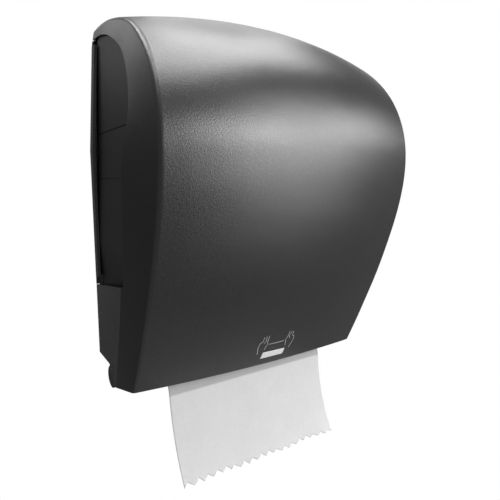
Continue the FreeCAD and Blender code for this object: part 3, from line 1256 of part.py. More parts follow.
cradle_bar_z = s.cradle_pin_z - s.cradle_bar_low
cradle_bar = block("cradle_bar", -ear_in - s.root_lap, ear_in + s.root_lap, cradle_bar_d,
                   cradle_bar_d + s.cradle_bar_wide, cradle_bar_z,
                   cradle_bar_z + s.cradle_bar_thick)
node("pinch_cradle", cut("cradle_cut", fuse("cradle_full", ears + [cradle_bar]),
                         fuse("cradle_holes", ear_holes)))
node("pinch_pivot_pins", group("pinch_pivot_pins", pivot_pins))
pinch_end = ear_out + s.pinch_past
node("pinch_shaft", rod("pinch_shaft", s.pinch_shaft_r, -pinch_end, pinch_end, *pinch_at))
sleeves = []
for k in (-1, 0, 1):
    low_x = k * s.pinch_pitch - s.pinch_sleeve / 2
    high_x = k * s.pinch_pitch + s.pinch_sleeve / 2
    sleeves.append(cut("sleeve_%d" % (k + 1),
                       rod("sleeve_out_%d" % (k + 1), s.pinch_r, low_x, high_x, *pinch_at),
                       rod("sleeve_in_%d" % (k + 1), s.pinch_shaft_r, low_x - 1, high_x + 1,
                           *pinch_at)))
node("pinch_sleeves", group("pinch_sleeves", sleeves))


def bar_between(a, b, radius):
    """A straight round wire from one point to another."""
    return Part.makeCylinder(radius, (b - a).Length, a, b - a)


def coil_form(turns, pitch, mean_r, wire):
    """A closely wound coil along X from the origin, with one groove for each turn."""
    points = [Vector(0, 0, mean_r - wire)]
    for k in range(int(turns)):
        points.append(Vector(k * pitch, 0, mean_r + 0.1 * wire))
        points.append(Vector((k + 0.5) * pitch, 0, mean_r + wire))
    points.append(Vector(turns * pitch, 0, mean_r + 0.1 * wire))
    points.append(Vector(turns * pitch, 0, mean_r - wire))
    face = Part.Face(Part.makePolygon(points + points[:1]))
    return face.revolve(Vector(), Vector(1, 0, 0), 360)


def flat_ring(centre, inner, outer, width):
    """A ring round X with square edges."""
    start = centre - Vector(width / 2, 0, 0)
    hole = Part.makeCylinder(inner, width, start, Vector(1, 0, 0))
    return Part.makeCylinder(outer, width, start, Vector(1, 0, 0)).cut(hole)


pivot = Vector(0, -s.cradle_pin_d.value, s.cradle_pin_z.value)
tie_top = Vector(0, -tie_places[1][0].value, tie_places[1][1].value)
shaft_mid = Vector(0, -pinch_at[0].value, pinch_at[1].value)
spring_wire = s.pinch_wire_r.value
spring_r = s.cradle_pin_r.value + 0.8 + spring_wire
for name, side in SIDES:
    start = ear_out.value + 0.7
    coil = coil_form(s.pinch_coil_turns.value, s.pinch_coil_pitch.value, spring_r, spring_wire)
    coil.translate(Vector(start, 0, 0) + pivot)
    off_tie = s.tie_r.value + spring_wire + 0.05
    off_shaft = s.pinch_shaft_r.value + spring_wire + 0.05
    leg_x = Vector(start + 1.4, 0, 0)
    legs = [bar_between(pivot + leg_x + Vector(0, 0, spring_r),
                        tie_top + leg_x + Vector(0, 0, off_tie), spring_wire),
            bar_between(pivot + leg_x + Vector(0, -spring_r, 0),
                        shaft_mid + leg_x + Vector(0, -off_shaft - 0.9, -2), spring_wire)]
    spring = coil.fuse(legs)
    springs.append(coded("pinch_spring_" + name, spring if side > 0 else spring.mirror(*mirror)))
node("pinch_springs", group("pinch_springs", springs))

# ---------------------------------------------------------------- drive and knob --------
crank_in = frame_out + s.crank_off
to_post = Vector(s.post_d.value - s.drum_d.value, s.post_z.value - s.drum_z.value, 0)
to_post.normalize()
crank_pin_at = (s.drum_d + s.crank_throw * to_post.x, s.drum_z + s.crank_throw * to_post.y)
pin_x = (crank_in + s.crank_thick - 1, crank_in + s.crank_thick + s.crank_pin_len)
crank = fuse("crank_full", [
    rod("crank_plate", s.crank_r, crank_in, crank_in + s.crank_thick, *drum_at),
    rod("crank_pin", s.crank_pin_r, *pin_x, *crank_pin_at)])
node("crank_disc", cut("crank_cut", crank, rod("crank_hole", s.shaft_r, crank_in - 1,
                                               crank_in + s.crank_thick + 1, *drum_at)))
post_end = frame_out + s.box_depth - s.box_wall - 1
node("spring_post", fuse("post_full", [
    rod("post", s.post_r, s.frame_x, post_end, s.post_d, s.post_z),
    rod("post_head", s.post_r + s.post_head_over, post_end - s.pin_head_h, post_end,
        s.post_d, s.post_z)]))

spring_x = (pin_x[1] - 3).value
pin_point = Vector(spring_x, -crank_pin_at[0].value, crank_pin_at[1].value)
post_point = Vector(spring_x, -s.post_d.value, s.post_z.value)
run = post_point - pin_point
coil_len = s.coil_turns.value * s.coil_pitch.value
wire = s.wire_r.value
coil = coil_form(s.coil_turns.value, s.coil_pitch.value, s.coil_r.value, wire)
coil.Placement = Placement(pin_point + run * ((1 - coil_len / run.Length) / 2),
                           Rotation(Vector(1, 0, 0), run))
pieces = []
for centre, radius, towards in ((pin_point, s.crank_pin_r.value, run),
                                (post_point, s.post_r.value, -run)):
    eye_r = radius + wire + 0.05
    unit = Vector(towards).normalize()
    pieces.append(flat_ring(centre, eye_r - wire, eye_r + wire, 2 * wire))
    leg_end = centre + unit * ((run.Length - coil_len) / 2 + 1)
    sideways = Vector(s.coil_r.value, 0, 0)
    pieces.append(bar_between(centre + unit * eye_r, leg_end - sideways, wire))
drive_spring = coil.fuse(pieces)
node("drive_spring", coded("drive_spring", drive_spring))

box_out = frame_out + s.box_depth
ear_seat = frame_out + s.box_ear_thick
box_full = fuse("box_full", [
    block("box_outer", frame_out, box_out, s.box_rear_d, s.box_front_d, s.box_low_z, s.box_top_z),
    block("box_ear_low", frame_out, ear_seat, s.box_rear_d - s.box_ear, s.box_front_d + s.box_ear,
          s.box_low_z + s.box_ear_in, s.box_low_z + s.box_ear_in + s.box_ear_high),
    block("box_ear_high", frame_out, ear_seat, s.box_rear_d - s.box_ear, s.box_front_d + s.box_ear,
          s.box_top_z - s.box_ear_in - s.box_ear_high, s.box_top_z - s.box_ear_in)])
box_room = block("box_room", frame_out - 1, box_out - s.box_wall, s.box_rear_d + s.box_wall,
                 s.box_front_d - s.box_wall, s.box_low_z + s.box_wall, s.box_top_z - s.box_wall)
box_holes = [rod("ear_hole_%d" % k, s.bolt_r, frame_out - 1, ear_seat + 1, *at_place)
             for k, at_place in enumerate(box_screw_at)]
node("drive_box", cut("box_cut", box_full, fuse("box_openings", [box_room] + box_holes)))
node("drive_box_screws", group("drive_box_screws", [
    fuse("box_screw_%d" % k, [
        rod("box_shank_%d" % k, s.bolt_r, ear_seat - s.bolt_len, ear_seat, *at_place),
        rod("box_head_%d" % k, s.bolt_head_r, ear_seat, ear_seat + s.bolt_head_h, *at_place)])
    for k, at_place in enumerate(box_screw_at)]))

knob_x = (-knob_end, -(frame_out + s.crank_off))
flutes = []
flute_ring = s.knob_r + s.flute_r / 2
for k in range(int(s.knob_flutes.value)):
    angle = lift(k * 360) / s.knob_flutes
    flutes.append(rod("flute_%d" % k, s.flute_r, knob_x[0] - 1, knob_x[1] + 1,
                      s.drum_d + flute_ring * cos_of(angle), s.drum_z + flute_ring * sin_of(angle)))
flutes.append(rod("knob_hole", s.shaft_r, knob_x[0] - 1, knob_x[1] + 1, *drum_at))
node("feed_knob", cut("knob_cut", rod("knob_full", s.knob_r, *knob_x, *drum_at),
                      fuse("knob_cuts", flutes)))

# ---------------------------------------------------------------- tray, chute, comb -----
tray_low = s.chute_low_z
tray_step = s.chute_low_z + s.tray_thick
node("bottom_tray", slab("bottom_tray", [
    (s.plate_thick + s.rib_height, s.tray_rear_z), (s.post_d, tray_low), (s.chute_rear_d, tray_low),
    (s.chute_rear_d, s.chute_rear_z), (s.chute_rear_d - s.chute_thick, s.chute_rear_z),
    (s.chute_rear_d - s.chute_thick, tray_step), (s.post_d + s.air_gap, tray_step),
    (s.plate_thick + s.rib_height, s.tray_rear_z + s.tray_thick)], -s.frame_x, s.frame_x))
chute_out = s.chute_front_d + s.chute_thick
node("chute_front", slab("chute_front", [
    (s.chute_front_d, s.chute_front_low_z), (chute_out, s.chute_front_low_z),
    (chute_out, s.chute_front_z), (chute_out + s.chute_flare * 0.4, s.chute_front_z + s.chute_flare),
    (s.chute_front_d + s.chute_flare * 0.4, s.chute_front_z + s.chute_flare + 0.6),
    (s.chute_front_d, s.chute_front_z + 0.4)], -s.frame_x, s.frame_x))

finger_r = s.drum_r - s.groove_depth + s.comb_reach
finger_tip = (s.drum_d + finger_r * cos_of(s.finger_angle),
              s.drum_z - finger_r * sin_of(s.finger_angle))
comb_back = s.chute_rear_d - s.chute_thick
comb_half = s.paper_width / 2 - s.comb_side
comb_in = comb_back - s.comb_thick
comb_low_z = s.chute_rear_z - s.comb_low
comb_shapes = [block("comb_bar", -comb_half, comb_half, comb_in, comb_back, comb_low_z,
                     s.chute_rear_z - s.comb_high)]
for k in GROOVES:
    middle = k * s.groove_pitch
    comb_shapes.append(slab("finger_%d" % (k + 2), [
        (comb_in, comb_low_z), (comb_back, comb_low_z),
        (comb_back, s.chute_rear_z), (s.chute_rear_d, s.chute_rear_z),
        (finger_tip[0] + 1.2, finger_tip[1] + 0.4), finger_tip,
        (comb_back - 1.8, s.chute_rear_z + 2)],
        middle - s.finger_half, middle + s.finger_half))
node("stripper_comb", fuse("stripper_comb", comb_shapes))


# ---------------------------------------------------------------- paper -----------------
def belt_line():
    """The middle line of the paper from the roll to the exit, in depth and height."""
    lift_off = s.paper_lift.value + s.paper_thick.value / 2
    wheels = [(Vector(s.roll_d.value, s.roll_z.value, 0), s.roll_r.value + lift_off, 1),
              (Vector(s.bar_d.value, s.bar_z.value, 0), s.bar_r.value + lift_off, 1),
              (Vector(s.drum_d.value, s.drum_z.value, 0), s.drum_r.value + lift_off, -1)]
    touches = []
    for (c1, r1, t1), (c2, r2, t2) in zip(wheels, wheels[1:]):
        gap = c2 - c1
        lean = math.asin((r1 - r2 if t1 == t2 else r1 + r2) / gap.Length)
        unit = Vector(gap).normalize()
        normal = Vector(unit.y, -unit.x, 0)
        out = normal * math.cos(lean) * t1 - unit * math.sin(-lean)
        touches.append((c1 + out * r1, c2 + out * (r2 if t1 == t2 else -r2)))
    return wheels, touches


def arc_points(centre, start, end, way):
    """Points along an arc between two points round a centre, turning one way."""
    a = math.atan2(start.y - centre.y, start.x - centre.x)
    b = math.atan2(end.y - centre.y, end.x - centre.x)
    while way > 0 and b < a:
        b += 2 * math.pi
    while way < 0 and b > a:
        b -= 2 * math.pi
    radius = (start - centre).Length
    count = max(2, int(abs(b - a) / math.radians(7.5)) + 1)
    return [centre + Vector(math.cos(a + (b - a) * k / count), math.sin(a + (b - a) * k / count), 0)
            * radius for k in range(count + 1)]


def ribbon(line, thick, half_width):
    """A sheet of even thickness along a line in depth and height."""
    sides = ([], [])
    for k, point in enumerate(line):
        along = line[min(k + 1, len(line) - 1)] - line[max(k - 1, 0)]
        normal = Vector(-along.y, along.x, 0).normalize() * (thick / 2)
        sides[0].append(at(-half_width, point + normal))
        sides[1].append(at(-half_width, point - normal))
    corners = sides[0] + sides[1][::-1]
    face = Part.Face(Part.makePolygon(corners + corners[:1]))
    return face.extrude(Vector(2 * half_width, 0, 0))


wheels, touches = belt_line()
drum_centre, web_r, _ = wheels[2]
web_front = drum_centre + Vector(web_r, 0, 0)
web_line = [touches[0][0]]
web_line += arc_points(wheels[1][0], touches[0][1], touches[1][0], 1)
web_line += arc_points(drum_centre, touches[1][1], web_front, -1)
web_line.append(Vector(web_front.x, 0, 0))
half_paper = s.paper_width.value / 2
node("towel_web", coded("towel_web", ribbon(web_line, s.paper_thick.value, half_paper)))

tail_line = [Vector(web_front.x, 0, 0), Vector(web_front.x, -s.tail_straight.value, 0)]
TAIL_STEPS = 14
for k in range(1, TAIL_STEPS + 1):
    turn = s.tail_arc.value * k / TAIL_STEPS / s.tail_curl_r.value
    tail_line.append(Vector(web_front.x + s.tail_curl_r.value * (1 - math.cos(turn)),
                            -s.tail_straight.value - s.tail_curl_r.value * math.sin(turn), 0))
node("towel_tail", coded("towel_tail", ribbon(tail_line, s.tail_thick.value, half_paper)))


# ---------------------------------------------------------------- checks and export -----
doc.recompute()
faults = []
for obj in doc.Objects:
    if "Invalid" in obj.State or "Error" in obj.State:
        faults.append("%s: %s" % (obj.Name, obj.State))
for label, obj in nodes.items():
    shape = obj.Shape
    if shape.isNull() or not shape.isValid() or not shape.Solids:
        faults.append("%s: no valid solid" % label)
if faults:
    raise RuntimeError("; ".join(faults))
os.makedirs("parts", exist_ok=True)
for label, obj in nodes.items():
    obj.Shape.exportStep("parts/%s.step" % label)
    box = obj.Shape.BoundBox
    print("%-18s solids %2d  x %7.1f %7.1f  y %7.1f %7.1f  z %7.1f %7.1f" % (
        label, len(obj.Shape.Solids), box.XMin, box.XMax, box.YMin, box.YMax, box.ZMin, box.ZMax))
print("pieces:", len(nodes))
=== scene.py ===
"""Looks of a wall-mounted pull-to-cut paper towel dispenser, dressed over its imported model.

Metres, in the frame's axes: X to the right, Y into the wall, Z up, origin at the centre of the
wall screws.
"""
import json
import math

import bpy
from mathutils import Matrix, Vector
from mathutils.bvhtree import BVHTree


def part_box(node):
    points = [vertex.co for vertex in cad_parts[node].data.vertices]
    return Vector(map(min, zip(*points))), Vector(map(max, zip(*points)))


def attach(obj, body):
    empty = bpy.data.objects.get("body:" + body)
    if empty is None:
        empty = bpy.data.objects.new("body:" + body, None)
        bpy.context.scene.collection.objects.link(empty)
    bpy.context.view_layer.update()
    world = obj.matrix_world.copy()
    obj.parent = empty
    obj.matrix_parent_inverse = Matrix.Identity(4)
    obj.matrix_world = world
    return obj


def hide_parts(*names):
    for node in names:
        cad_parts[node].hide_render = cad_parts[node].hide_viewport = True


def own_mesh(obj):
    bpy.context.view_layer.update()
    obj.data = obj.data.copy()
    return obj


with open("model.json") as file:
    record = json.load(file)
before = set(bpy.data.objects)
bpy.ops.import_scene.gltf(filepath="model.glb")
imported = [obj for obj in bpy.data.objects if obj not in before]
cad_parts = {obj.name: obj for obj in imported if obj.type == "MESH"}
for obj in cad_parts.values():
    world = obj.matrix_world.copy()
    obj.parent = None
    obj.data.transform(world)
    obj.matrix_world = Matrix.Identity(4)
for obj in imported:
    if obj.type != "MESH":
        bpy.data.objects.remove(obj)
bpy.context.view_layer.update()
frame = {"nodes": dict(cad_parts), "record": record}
nodes = frame["nodes"]
MM = 0.001


# ------------------------------------------------------------------ node helpers ---------
class Graph:
    """Short calls for building a node tree."""

    def __init__(self, tree):
        self.tree = tree

    def add(self, kind, **settings):
        made = self.tree.nodes.new(kind)
        for name, value in settings.items():
            setattr(made, name, value)
        return made

    def link(self, source, target):
        self.tree.links.new(source, target)

    def feed(self, node, name, value):
        """Set an input by its name, from a socket or a plain value."""
        socket = node.inputs[name]
        if isinstance(value, bpy.types.NodeSocket):
            self.link(value, socket)
        else:
            socket.default_value = value

    def math(self, operation, a, b=0.0):
        made = self.add("ShaderNodeMath", operation=operation)
        self.feed(made, 0, a)
        self.feed(made, 1, b)
        return made.outputs[0]

    def vector(self, operation, a, b=(0.0, 0.0, 0.0)):
        made = self.add("ShaderNodeVectorMath", operation=operation)
        self.feed(made, 0, a)
        self.feed(made, 1, b)
        return made.outputs

    def noise(self, where, scale, detail=2.0, rough=0.5):
        made = self.add("ShaderNodeTexNoise")
        self.feed(made, "Vector", where)
        for name, value in (("Scale", scale), ("Detail", detail), ("Roughness", rough)):
            self.feed(made, name, value)
        return made.outputs["Fac"]

    def ramp(self, value, low, high, to_low=0.0, to_high=1.0):
        made = self.add("ShaderNodeMapRange")
        made.clamp = True
        for name, given in (("Value", value), ("From Min", low), ("From Max", high),
                            ("To Min", to_low), ("To Max", to_high)):
            self.feed(made, name, given)
        return made.outputs["Result"]

    def mix_colour(self, factor, a, b):
        made = self.add("ShaderNodeMix", data_type="RGBA")
        self.feed(made, 0, factor)
        self.feed(made, 6, a)
        self.feed(made, 7, b)
        return made.outputs[2]

    def group(self, tree, **values):
        made = self.add("ShaderNodeGroup", node_tree=tree)
        for name, value in values.items():
            self.feed(made, name.replace("_", " "), value)
        return made.outputs


def new_group(name, inputs, outputs):
    """A shader group with named sockets; each is (name, kind, default)."""
    tree = bpy.data.node_groups.new(name, "ShaderNodeTree")
    for side, rows in (("INPUT", inputs), ("OUTPUT", outputs)):
        for title, kind, default in rows:
            socket = tree.interface.new_socket(title, in_out=side, socket_type=kind)
            if default is not None:
                socket.default_value = default
    g = Graph(tree)
    return g, g.add("NodeGroupInput").outputs, g.add("NodeGroupOutput")


FLOAT, COLOUR, VECTOR = "NodeSocketFloat", "NodeSocketColor", "NodeSocketVector"

# Noise scales, in features for each metre of surface.
CLOUD_SCALE = 9.0
DRAWN_LINES_SCALE = 900.0
DULL_PATCH_SCALE = 60.0
CREPE_SCALE = 1500.0
FIBRE_SCALE = 260.0
PAPER_CLOUD_SCALE = 45.0
BOARD_FIBRE_SCALE = 320.0
WOUND_WOBBLE_SCALE = 30.0


def moulded_grain_group():
    """The fine sparkle and spark-eroded grain of a moulded surface."""
    g, given, out = new_group(
        "moulded grain",
        [("Grain Size", FLOAT, 0.0009), ("Colour", COLOUR, (0.02, 0.02, 0.02, 1)),
         ("Speck Colour", COLOUR, (0.1, 0.1, 0.1, 1)), ("Roughness", FLOAT, 0.45)],
        [("Colour", COLOUR, None), ("Roughness", FLOAT, None), ("Height", FLOAT, None)])
    where = g.add("ShaderNodeTexCoord").outputs["Object"]
    scale = g.math("DIVIDE", 1.0, given["Grain Size"])
    fine = g.noise(where, scale, 2.0, 0.6)
    cloud = g.noise(where, CLOUD_SCALE, 3.0, 0.5)
    specks = g.ramp(fine, 0.52, 0.74)
    g.feed(out, "Colour", g.mix_colour(specks, given["Colour"], given["Speck Colour"]))
    uneven = g.ramp(cloud, 0.3, 0.7, -0.02, 0.02)
    speck_rough = g.ramp(fine, 0.3, 0.7, 0.04, -0.04)
    rough = g.math("ADD", given["Roughness"], uneven)
    g.feed(out, "Roughness", g.math("ADD", rough, speck_rough))
    g.feed(out, "Height", fine)
    return g.tree


def drawn_metal_group():
    """Fine lines and dull patches of drawn or plated metal."""
    g, given, out = new_group(
        "drawn metal",
        [("Stretch", VECTOR, (0.02, 1.0, 1.0)), ("Colour", COLOUR, (0.5, 0.5, 0.5, 1)),
         ("Dull Colour", COLOUR, (0.35, 0.35, 0.35, 1)), ("Roughness", FLOAT, 0.3)],
        [("Colour", COLOUR, None), ("Roughness", FLOAT, None), ("Height", FLOAT, None)])
    where = g.add("ShaderNodeTexCoord").outputs["Object"]
    along = g.vector("MULTIPLY", where, given["Stretch"])[0]
    lines = g.noise(along, DRAWN_LINES_SCALE, 3.0, 0.6)
    patches = g.ramp(g.noise(where, DULL_PATCH_SCALE, 3.0, 0.6), 0.4, 0.7)
    g.feed(out, "Colour", g.mix_colour(patches, given["Colour"], given["Dull Colour"]))
    uneven = g.ramp(lines, 0.3, 0.7, -0.08, 0.1)
    g.feed(out, "Roughness", g.math("ADD", given["Roughness"], uneven))
    g.feed(out, "Height", lines)
    return g.tree


def tissue_group():
    """Creped tissue: fine cross lines, fibre clouds and a faint emboss."""
    g, given, out = new_group(
        "creped tissue",
        [("Colour", COLOUR, (0.7, 0.7, 0.7, 1)), ("Shade", COLOUR, (0.6, 0.6, 0.6, 1))],
        [("Colour", COLOUR, None), ("Height", FLOAT, None)])
    where = g.add("ShaderNodeTexCoord").outputs["Object"]
    across = g.vector("MULTIPLY", where, (0.12, 1.0, 1.0))[0]
    crepe = g.noise(across, CREPE_SCALE, 3.0, 0.6)
    fibres = g.noise(where, FIBRE_SCALE, 4.0, 0.65)
    clouds = g.noise(where, PAPER_CLOUD_SCALE, 3.0, 0.5)
    soft = g.math("ADD", g.math("MULTIPLY", fibres, 0.6), g.math("MULTIPLY", clouds, 0.4))
    g.feed(out, "Colour", g.mix_colour(g.ramp(soft, 0.38, 0.64), given["Shade"], given["Colour"]))
    g.feed(out, "Height", g.math("ADD", g.math("MULTIPLY", crepe, 0.6),
                                 g.math("MULTIPLY", fibres, 0.7)))
    return g.tree


GRAIN = moulded_grain_group()
METAL = drawn_metal_group()
TISSUE = tissue_group()

# ------------------------------------------------------------------ finishes -------------
PAPER_ROUGHNESS = 0.95
PAPER_SPECULAR = 0.15
PAPER_SHEEN = 0.1
PAPER_BUMP = {"strength": 0.5, "distance": 0.08 * MM}
METAL_BUMP = {"strength": 0.15, "distance": 0.01 * MM}
BOARD_BUMP = {"strength": 0.4, "distance": 0.06 * MM}
PAINTED_SHADE_SHARE = 0.75        # how strongly the painted shade below the cover's edge darkens the towel
WOUND_LAYER = 0.9 * MM      # spacing of the rings on the roll's ends
WOUND_WOBBLE = 1.2 * MM
RING_SHADE = 0.35           # how strongly the rings darken the ends
RING_HEIGHT = 1.5


def grey(value):
    return (value, value, value, 1.0)


def new_material(name):
    material = bpy.data.materials.new(name)
    material.use_nodes = True
    g = Graph(material.node_tree)
    return material, g, material.node_tree.nodes["Principled BSDF"]


def bump(g, shader, height, strength, distance):
    made = g.add("ShaderNodeBump")
    g.feed(made, "Strength", strength)
    g.feed(made, "Distance", distance)
    g.feed(made, "Height", height)
    g.link(made.outputs["Normal"], shader.inputs["Normal"])


def moulded(name, colour, speck, roughness, grain=0.9 * MM, depth=0.03 * MM, strength=0.25,
            specular=0.5):
    """Moulded plastic with its fine grain."""
    material, g, shader = new_material(name)
    out = g.group(GRAIN, Grain_Size=grain, Colour=colour, Speck_Colour=speck, Roughness=roughness)
    g.link(out["Colour"], shader.inputs["Base Color"])
    g.link(out["Roughness"], shader.inputs["Roughness"])
    g.feed(shader, "Specular IOR Level", specular)
    bump(g, shader, out["Height"], strength, depth)
    return material


def metal(name, colour, dull, roughness, stretch=(0.02, 1.0, 1.0)):
    """Drawn, stamped or plated metal."""
    material, g, shader = new_material(name)
    out = g.group(METAL, Stretch=stretch, Colour=colour, Dull_Colour=dull, Roughness=roughness)
    g.link(out["Colour"], shader.inputs["Base Color"])
    g.link(out["Roughness"], shader.inputs["Roughness"])
    g.feed(shader, "Metallic", 1.0)
    bump(g, shader, out["Height"], **METAL_BUMP)
    return material


def hung_paper(name, colour, shade, painted_shade_colour, top, bend_left, bend_right, left, right):
    """Creped towel tissue with painted shade in the band where it bent over the tear bar, just
    below the cover's edge.
    """
    material, g, shader = new_material(name)
    out = g.group(TISSUE, Colour=colour, Shade=shade)
    split = g.add("ShaderNodeSeparateXYZ")
    g.link(g.add("ShaderNodeTexCoord").outputs["Object"], split.inputs[0])
    # Painted shade: the towel darkens towards the shade colour in a band below the cover's edge,
    # as deep as the bend at each side.
    band = g.ramp(split.outputs["X"], left, right, bend_left, bend_right)
    above = g.math("ADD", g.math("SUBTRACT", split.outputs["Z"], top), band)
    painted_shade_mask = g.ramp(above, -0.5 * MM, 1.5 * MM, 0.0, PAINTED_SHADE_SHARE)
    g.link(g.mix_colour(painted_shade_mask, out["Colour"], painted_shade_colour), shader.inputs["Base Color"])
    g.feed(shader, "Roughness", PAPER_ROUGHNESS)
    g.feed(shader, "Specular IOR Level", PAPER_SPECULAR)
    g.feed(shader, "Sheen Weight", PAPER_SHEEN)
    bump(g, shader, out["Height"], **PAPER_BUMP)
    return material


def roll_paper(name, colour, shade, axis_at):
    """The roll: tissue whose ends show its wound layers as fine rings."""
    material, g, shader = new_material(name)
    out = g.group(TISSUE, Colour=colour, Shade=shade)
    where = g.add("ShaderNodeTexCoord").outputs["Object"]
    from_axis = g.vector("SUBTRACT", where, axis_at)[0]
    radius = g.vector("LENGTH", g.vector("MULTIPLY", from_axis, (0.0, 1.0, 1.0))[0])["Value"]
    wobble = g.math("MULTIPLY", g.noise(where, WOUND_WOBBLE_SCALE), WOUND_WOBBLE)
    wound = g.math("ADD", radius, wobble)
    ring = g.math("SINE", g.math("MULTIPLY", wound, 2 * math.pi / WOUND_LAYER))
    split = g.add("ShaderNodeSeparateXYZ")
    g.link(g.add("ShaderNodeNewGeometry").outputs["Normal"], split.inputs[0])
    on_end = g.ramp(g.math("ABSOLUTE", split.outputs["X"]), 0.7, 0.9)
    lines = g.math("MULTIPLY", g.ramp(ring, -1.0, 1.0), on_end)
    g.link(g.mix_colour(g.math("MULTIPLY", lines, RING_SHADE), out["Colour"], shade),
           shader.inputs["Base Color"])
    g.feed(shader, "Roughness", PAPER_ROUGHNESS)
    g.feed(shader, "Specular IOR Level", PAPER_SPECULAR)
    height = g.math("ADD", out["Height"], g.math("MULTIPLY", lines, RING_HEIGHT))
    bump(g, shader, height, **PAPER_BUMP)
    return material


def card(name, colour, shade):
    """Wound brown board of the core."""
    material, g, shader = new_material(name)
    where = g.add("ShaderNodeTexCoord").outputs["Object"]
    fibre = g.noise(where, BOARD_FIBRE_SCALE, 4.0, 0.7)
    g.link(g.mix_colour(g.ramp(fibre, 0.35, 0.65), shade, colour), shader.inputs["Base Color"])
    g.feed(shader, "Roughness", 0.9)
    bump(g, shader, fibre, **BOARD_BUMP)
    return material


COVER_AT = {"roughness": 0.33, "grain": 1.25 * MM, "depth": 0.16 * MM, "strength": 1.0,
            "specular": 1.0}
FINISHES = {
    "cover_plastic": moulded("satin black cover", grey(0.002), grey(0.02), **COVER_AT),
    "side_plastic": moulded("matte black side", grey(0.003), grey(0.006), 0.42, specular=0.6),
    "chassis_plastic": moulded("dark chassis", grey(0.05), grey(0.07), 0.55),
    "drum_plastic": moulded("grey drum", (0.3, 0.31, 0.32, 1), (0.34, 0.35, 0.36, 1), 0.5),
    "grey_plastic": moulded("mid grey module", (0.16, 0.17, 0.18, 1), (0.19, 0.2, 0.21, 1), 0.5),
    "knob_plastic": moulded("blue knob", (0.05, 0.16, 0.32, 1), (0.06, 0.19, 0.36, 1), 0.4),
    "grip_rubber": moulded("black rubber", grey(0.02), grey(0.03), 0.75, grain=0.5 * MM,
                           specular=0.3),
    "steel": metal("drawn steel", grey(0.62), grey(0.5), 0.28),
    "zinc": metal("zinc plate", (0.5, 0.51, 0.53, 1), (0.4, 0.41, 0.42, 1), 0.38, (1, 1, 1)),
    "core_card": card("brown board", (0.34, 0.24, 0.15, 1), (0.26, 0.18, 0.11, 1)),
}
PLATE_GREY = moulded("light grey plate", grey(0.72), grey(0.78), 0.4, grain=0.5 * MM)
SIGN_GREY = moulded("light grey print", grey(0.42), grey(0.47), 0.6, grain=0.5 * MM,
                    depth=0.01 * MM)

# How far below the cover's edge the towel bends over the tear bar, at its left and right side;
# the towel's painted shade reaches down as far.
BEND_LEFT, BEND_RIGHT = 16.0 * MM, 13.5 * MM
tail_low, tail_high = (Vector(corner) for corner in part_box("towel_tail"))
# The third grey is the colour of the towel's painted shade below the cover's edge.
TOWEL = hung_paper("towel tissue", grey(0.615), grey(0.58), grey(0.33), tail_high.z,
                   BEND_LEFT, BEND_RIGHT, tail_low.x, tail_high.x)
FINISHES["towel_paper"] = TOWEL

slots = {row["node"]: row["material_slot"] for row in frame["record"]["subparts"]}
for node_name, slot_name in slots.items():
    nodes[node_name].data.materials.clear()
    nodes[node_name].data.materials.append(FINISHES[slot_name])

roll_low, roll_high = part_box("towel_roll")
roll_axis = [(a + b) / 2 for a, b in zip(roll_low, roll_high)]
nodes["towel_roll"].data.materials[0] = roll_paper("wound towel roll", grey(0.6), grey(0.54),
                                                   roll_axis)


# ------------------------------------------------------------------ mesh helpers ---------
def new_object(name, mesh, body, material):
    obj = bpy.data.objects.new(name, mesh)
    bpy.context.scene.collection.objects.link(obj)
    obj.data.materials.append(material)
    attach(obj, body)
    return obj


def mesh_of(name, points, faces, smooth=False):
    mesh = bpy.data.meshes.new(name)
    mesh.from_pydata(points, [], faces)
    mesh.validate()
    for face in mesh.polygons:
        face.use_smooth = smooth
    mesh.update()
    return mesh


def thicken(obj, thickness, offset):
    """Give a surface its thickness: offset 0 to both sides, -1 inwards."""
    solid = obj.modifiers.new("thickness", "SOLIDIFY")
    solid.thickness = thickness
    solid.offset = offset


def soften(obj, width):
    """Break a piece's sharp edges."""
    edge = obj.modifiers.new("edge", "BEVEL")
    edge.width = width
    edge.segments = 2


def grid_faces(across, down):
    """Quads between the points of rows that hold across + 1 points each."""
    row = across + 1
    corners = [j * row + i for j in range(down) for i in range(across)]
    return [(a, a + 1, a + row + 1, a + row) for a in corners]


# ------------------------------------------------------------------ hanging towel --------
TAIL_STRAIGHT = 0.010       # length that hangs straight before the curl starts
TAIL_CURL_R = 0.225
TAIL_THICK = 0.35 * MM
TAIL_ASKEW = 5.5 * MM       # how far the top is pulled to the left of the cut edge
TAIL_BEND = 4.0 * MM        # how far the paper comes forward over the tear bar
WAVE_WIDE, WAVE_FINE = 0.9, 0.5     # millimetres
EDGE_FLUTTER = 0.8 * MM
TEETH = 18
TOOTH = 6.5 * MM
TOOTH_FADE = 0.35           # how much smaller the teeth get towards the right
TIP_UNEVEN = 0.16
ACROSS = TEETH * 8
DOWN = 60
tail_width = tail_high.x - tail_low.x
tail_drop = tail_high.z - tail_low.z
tail_length = TAIL_STRAIGHT + TAIL_CURL_R * math.asin((tail_drop - TAIL_STRAIGHT) / TAIL_CURL_R)
tail_y = tail_high.y - 0.5 * MM


def tail_point(u, v):
    """A point of the towel: u across from 0 to 1, v the length hung below the cover."""
    turn = max(0.0, v - TAIL_STRAIGHT) / TAIL_CURL_R
    out = TAIL_CURL_R * (1 - math.cos(turn))
    down = min(v, TAIL_STRAIGHT) + TAIL_CURL_R * math.sin(turn)
    part = v / tail_length
    wave = (WAVE_WIDE * math.sin(2.1 * math.pi * u + 0.6)
            + WAVE_FINE * math.sin(5.3 * math.pi * u + 2.0)) * MM
    flutter = EDGE_FLUTTER * math.sin(7.0 * u + 3.0 * part)
    bend = BEND_LEFT + (BEND_RIGHT - BEND_LEFT) * u
    back = TAIL_BEND * max(0.0, 1.0 - v / bend) ** 2
    hang_y = tail_y - out + wave * part ** 1.5 + flutter * part ** 3
    return Vector((tail_low.x + tail_width * u - TAIL_ASKEW * (1.0 - part),
                   min(hang_y, tail_high.y) + back,
                   tail_high.z - down))


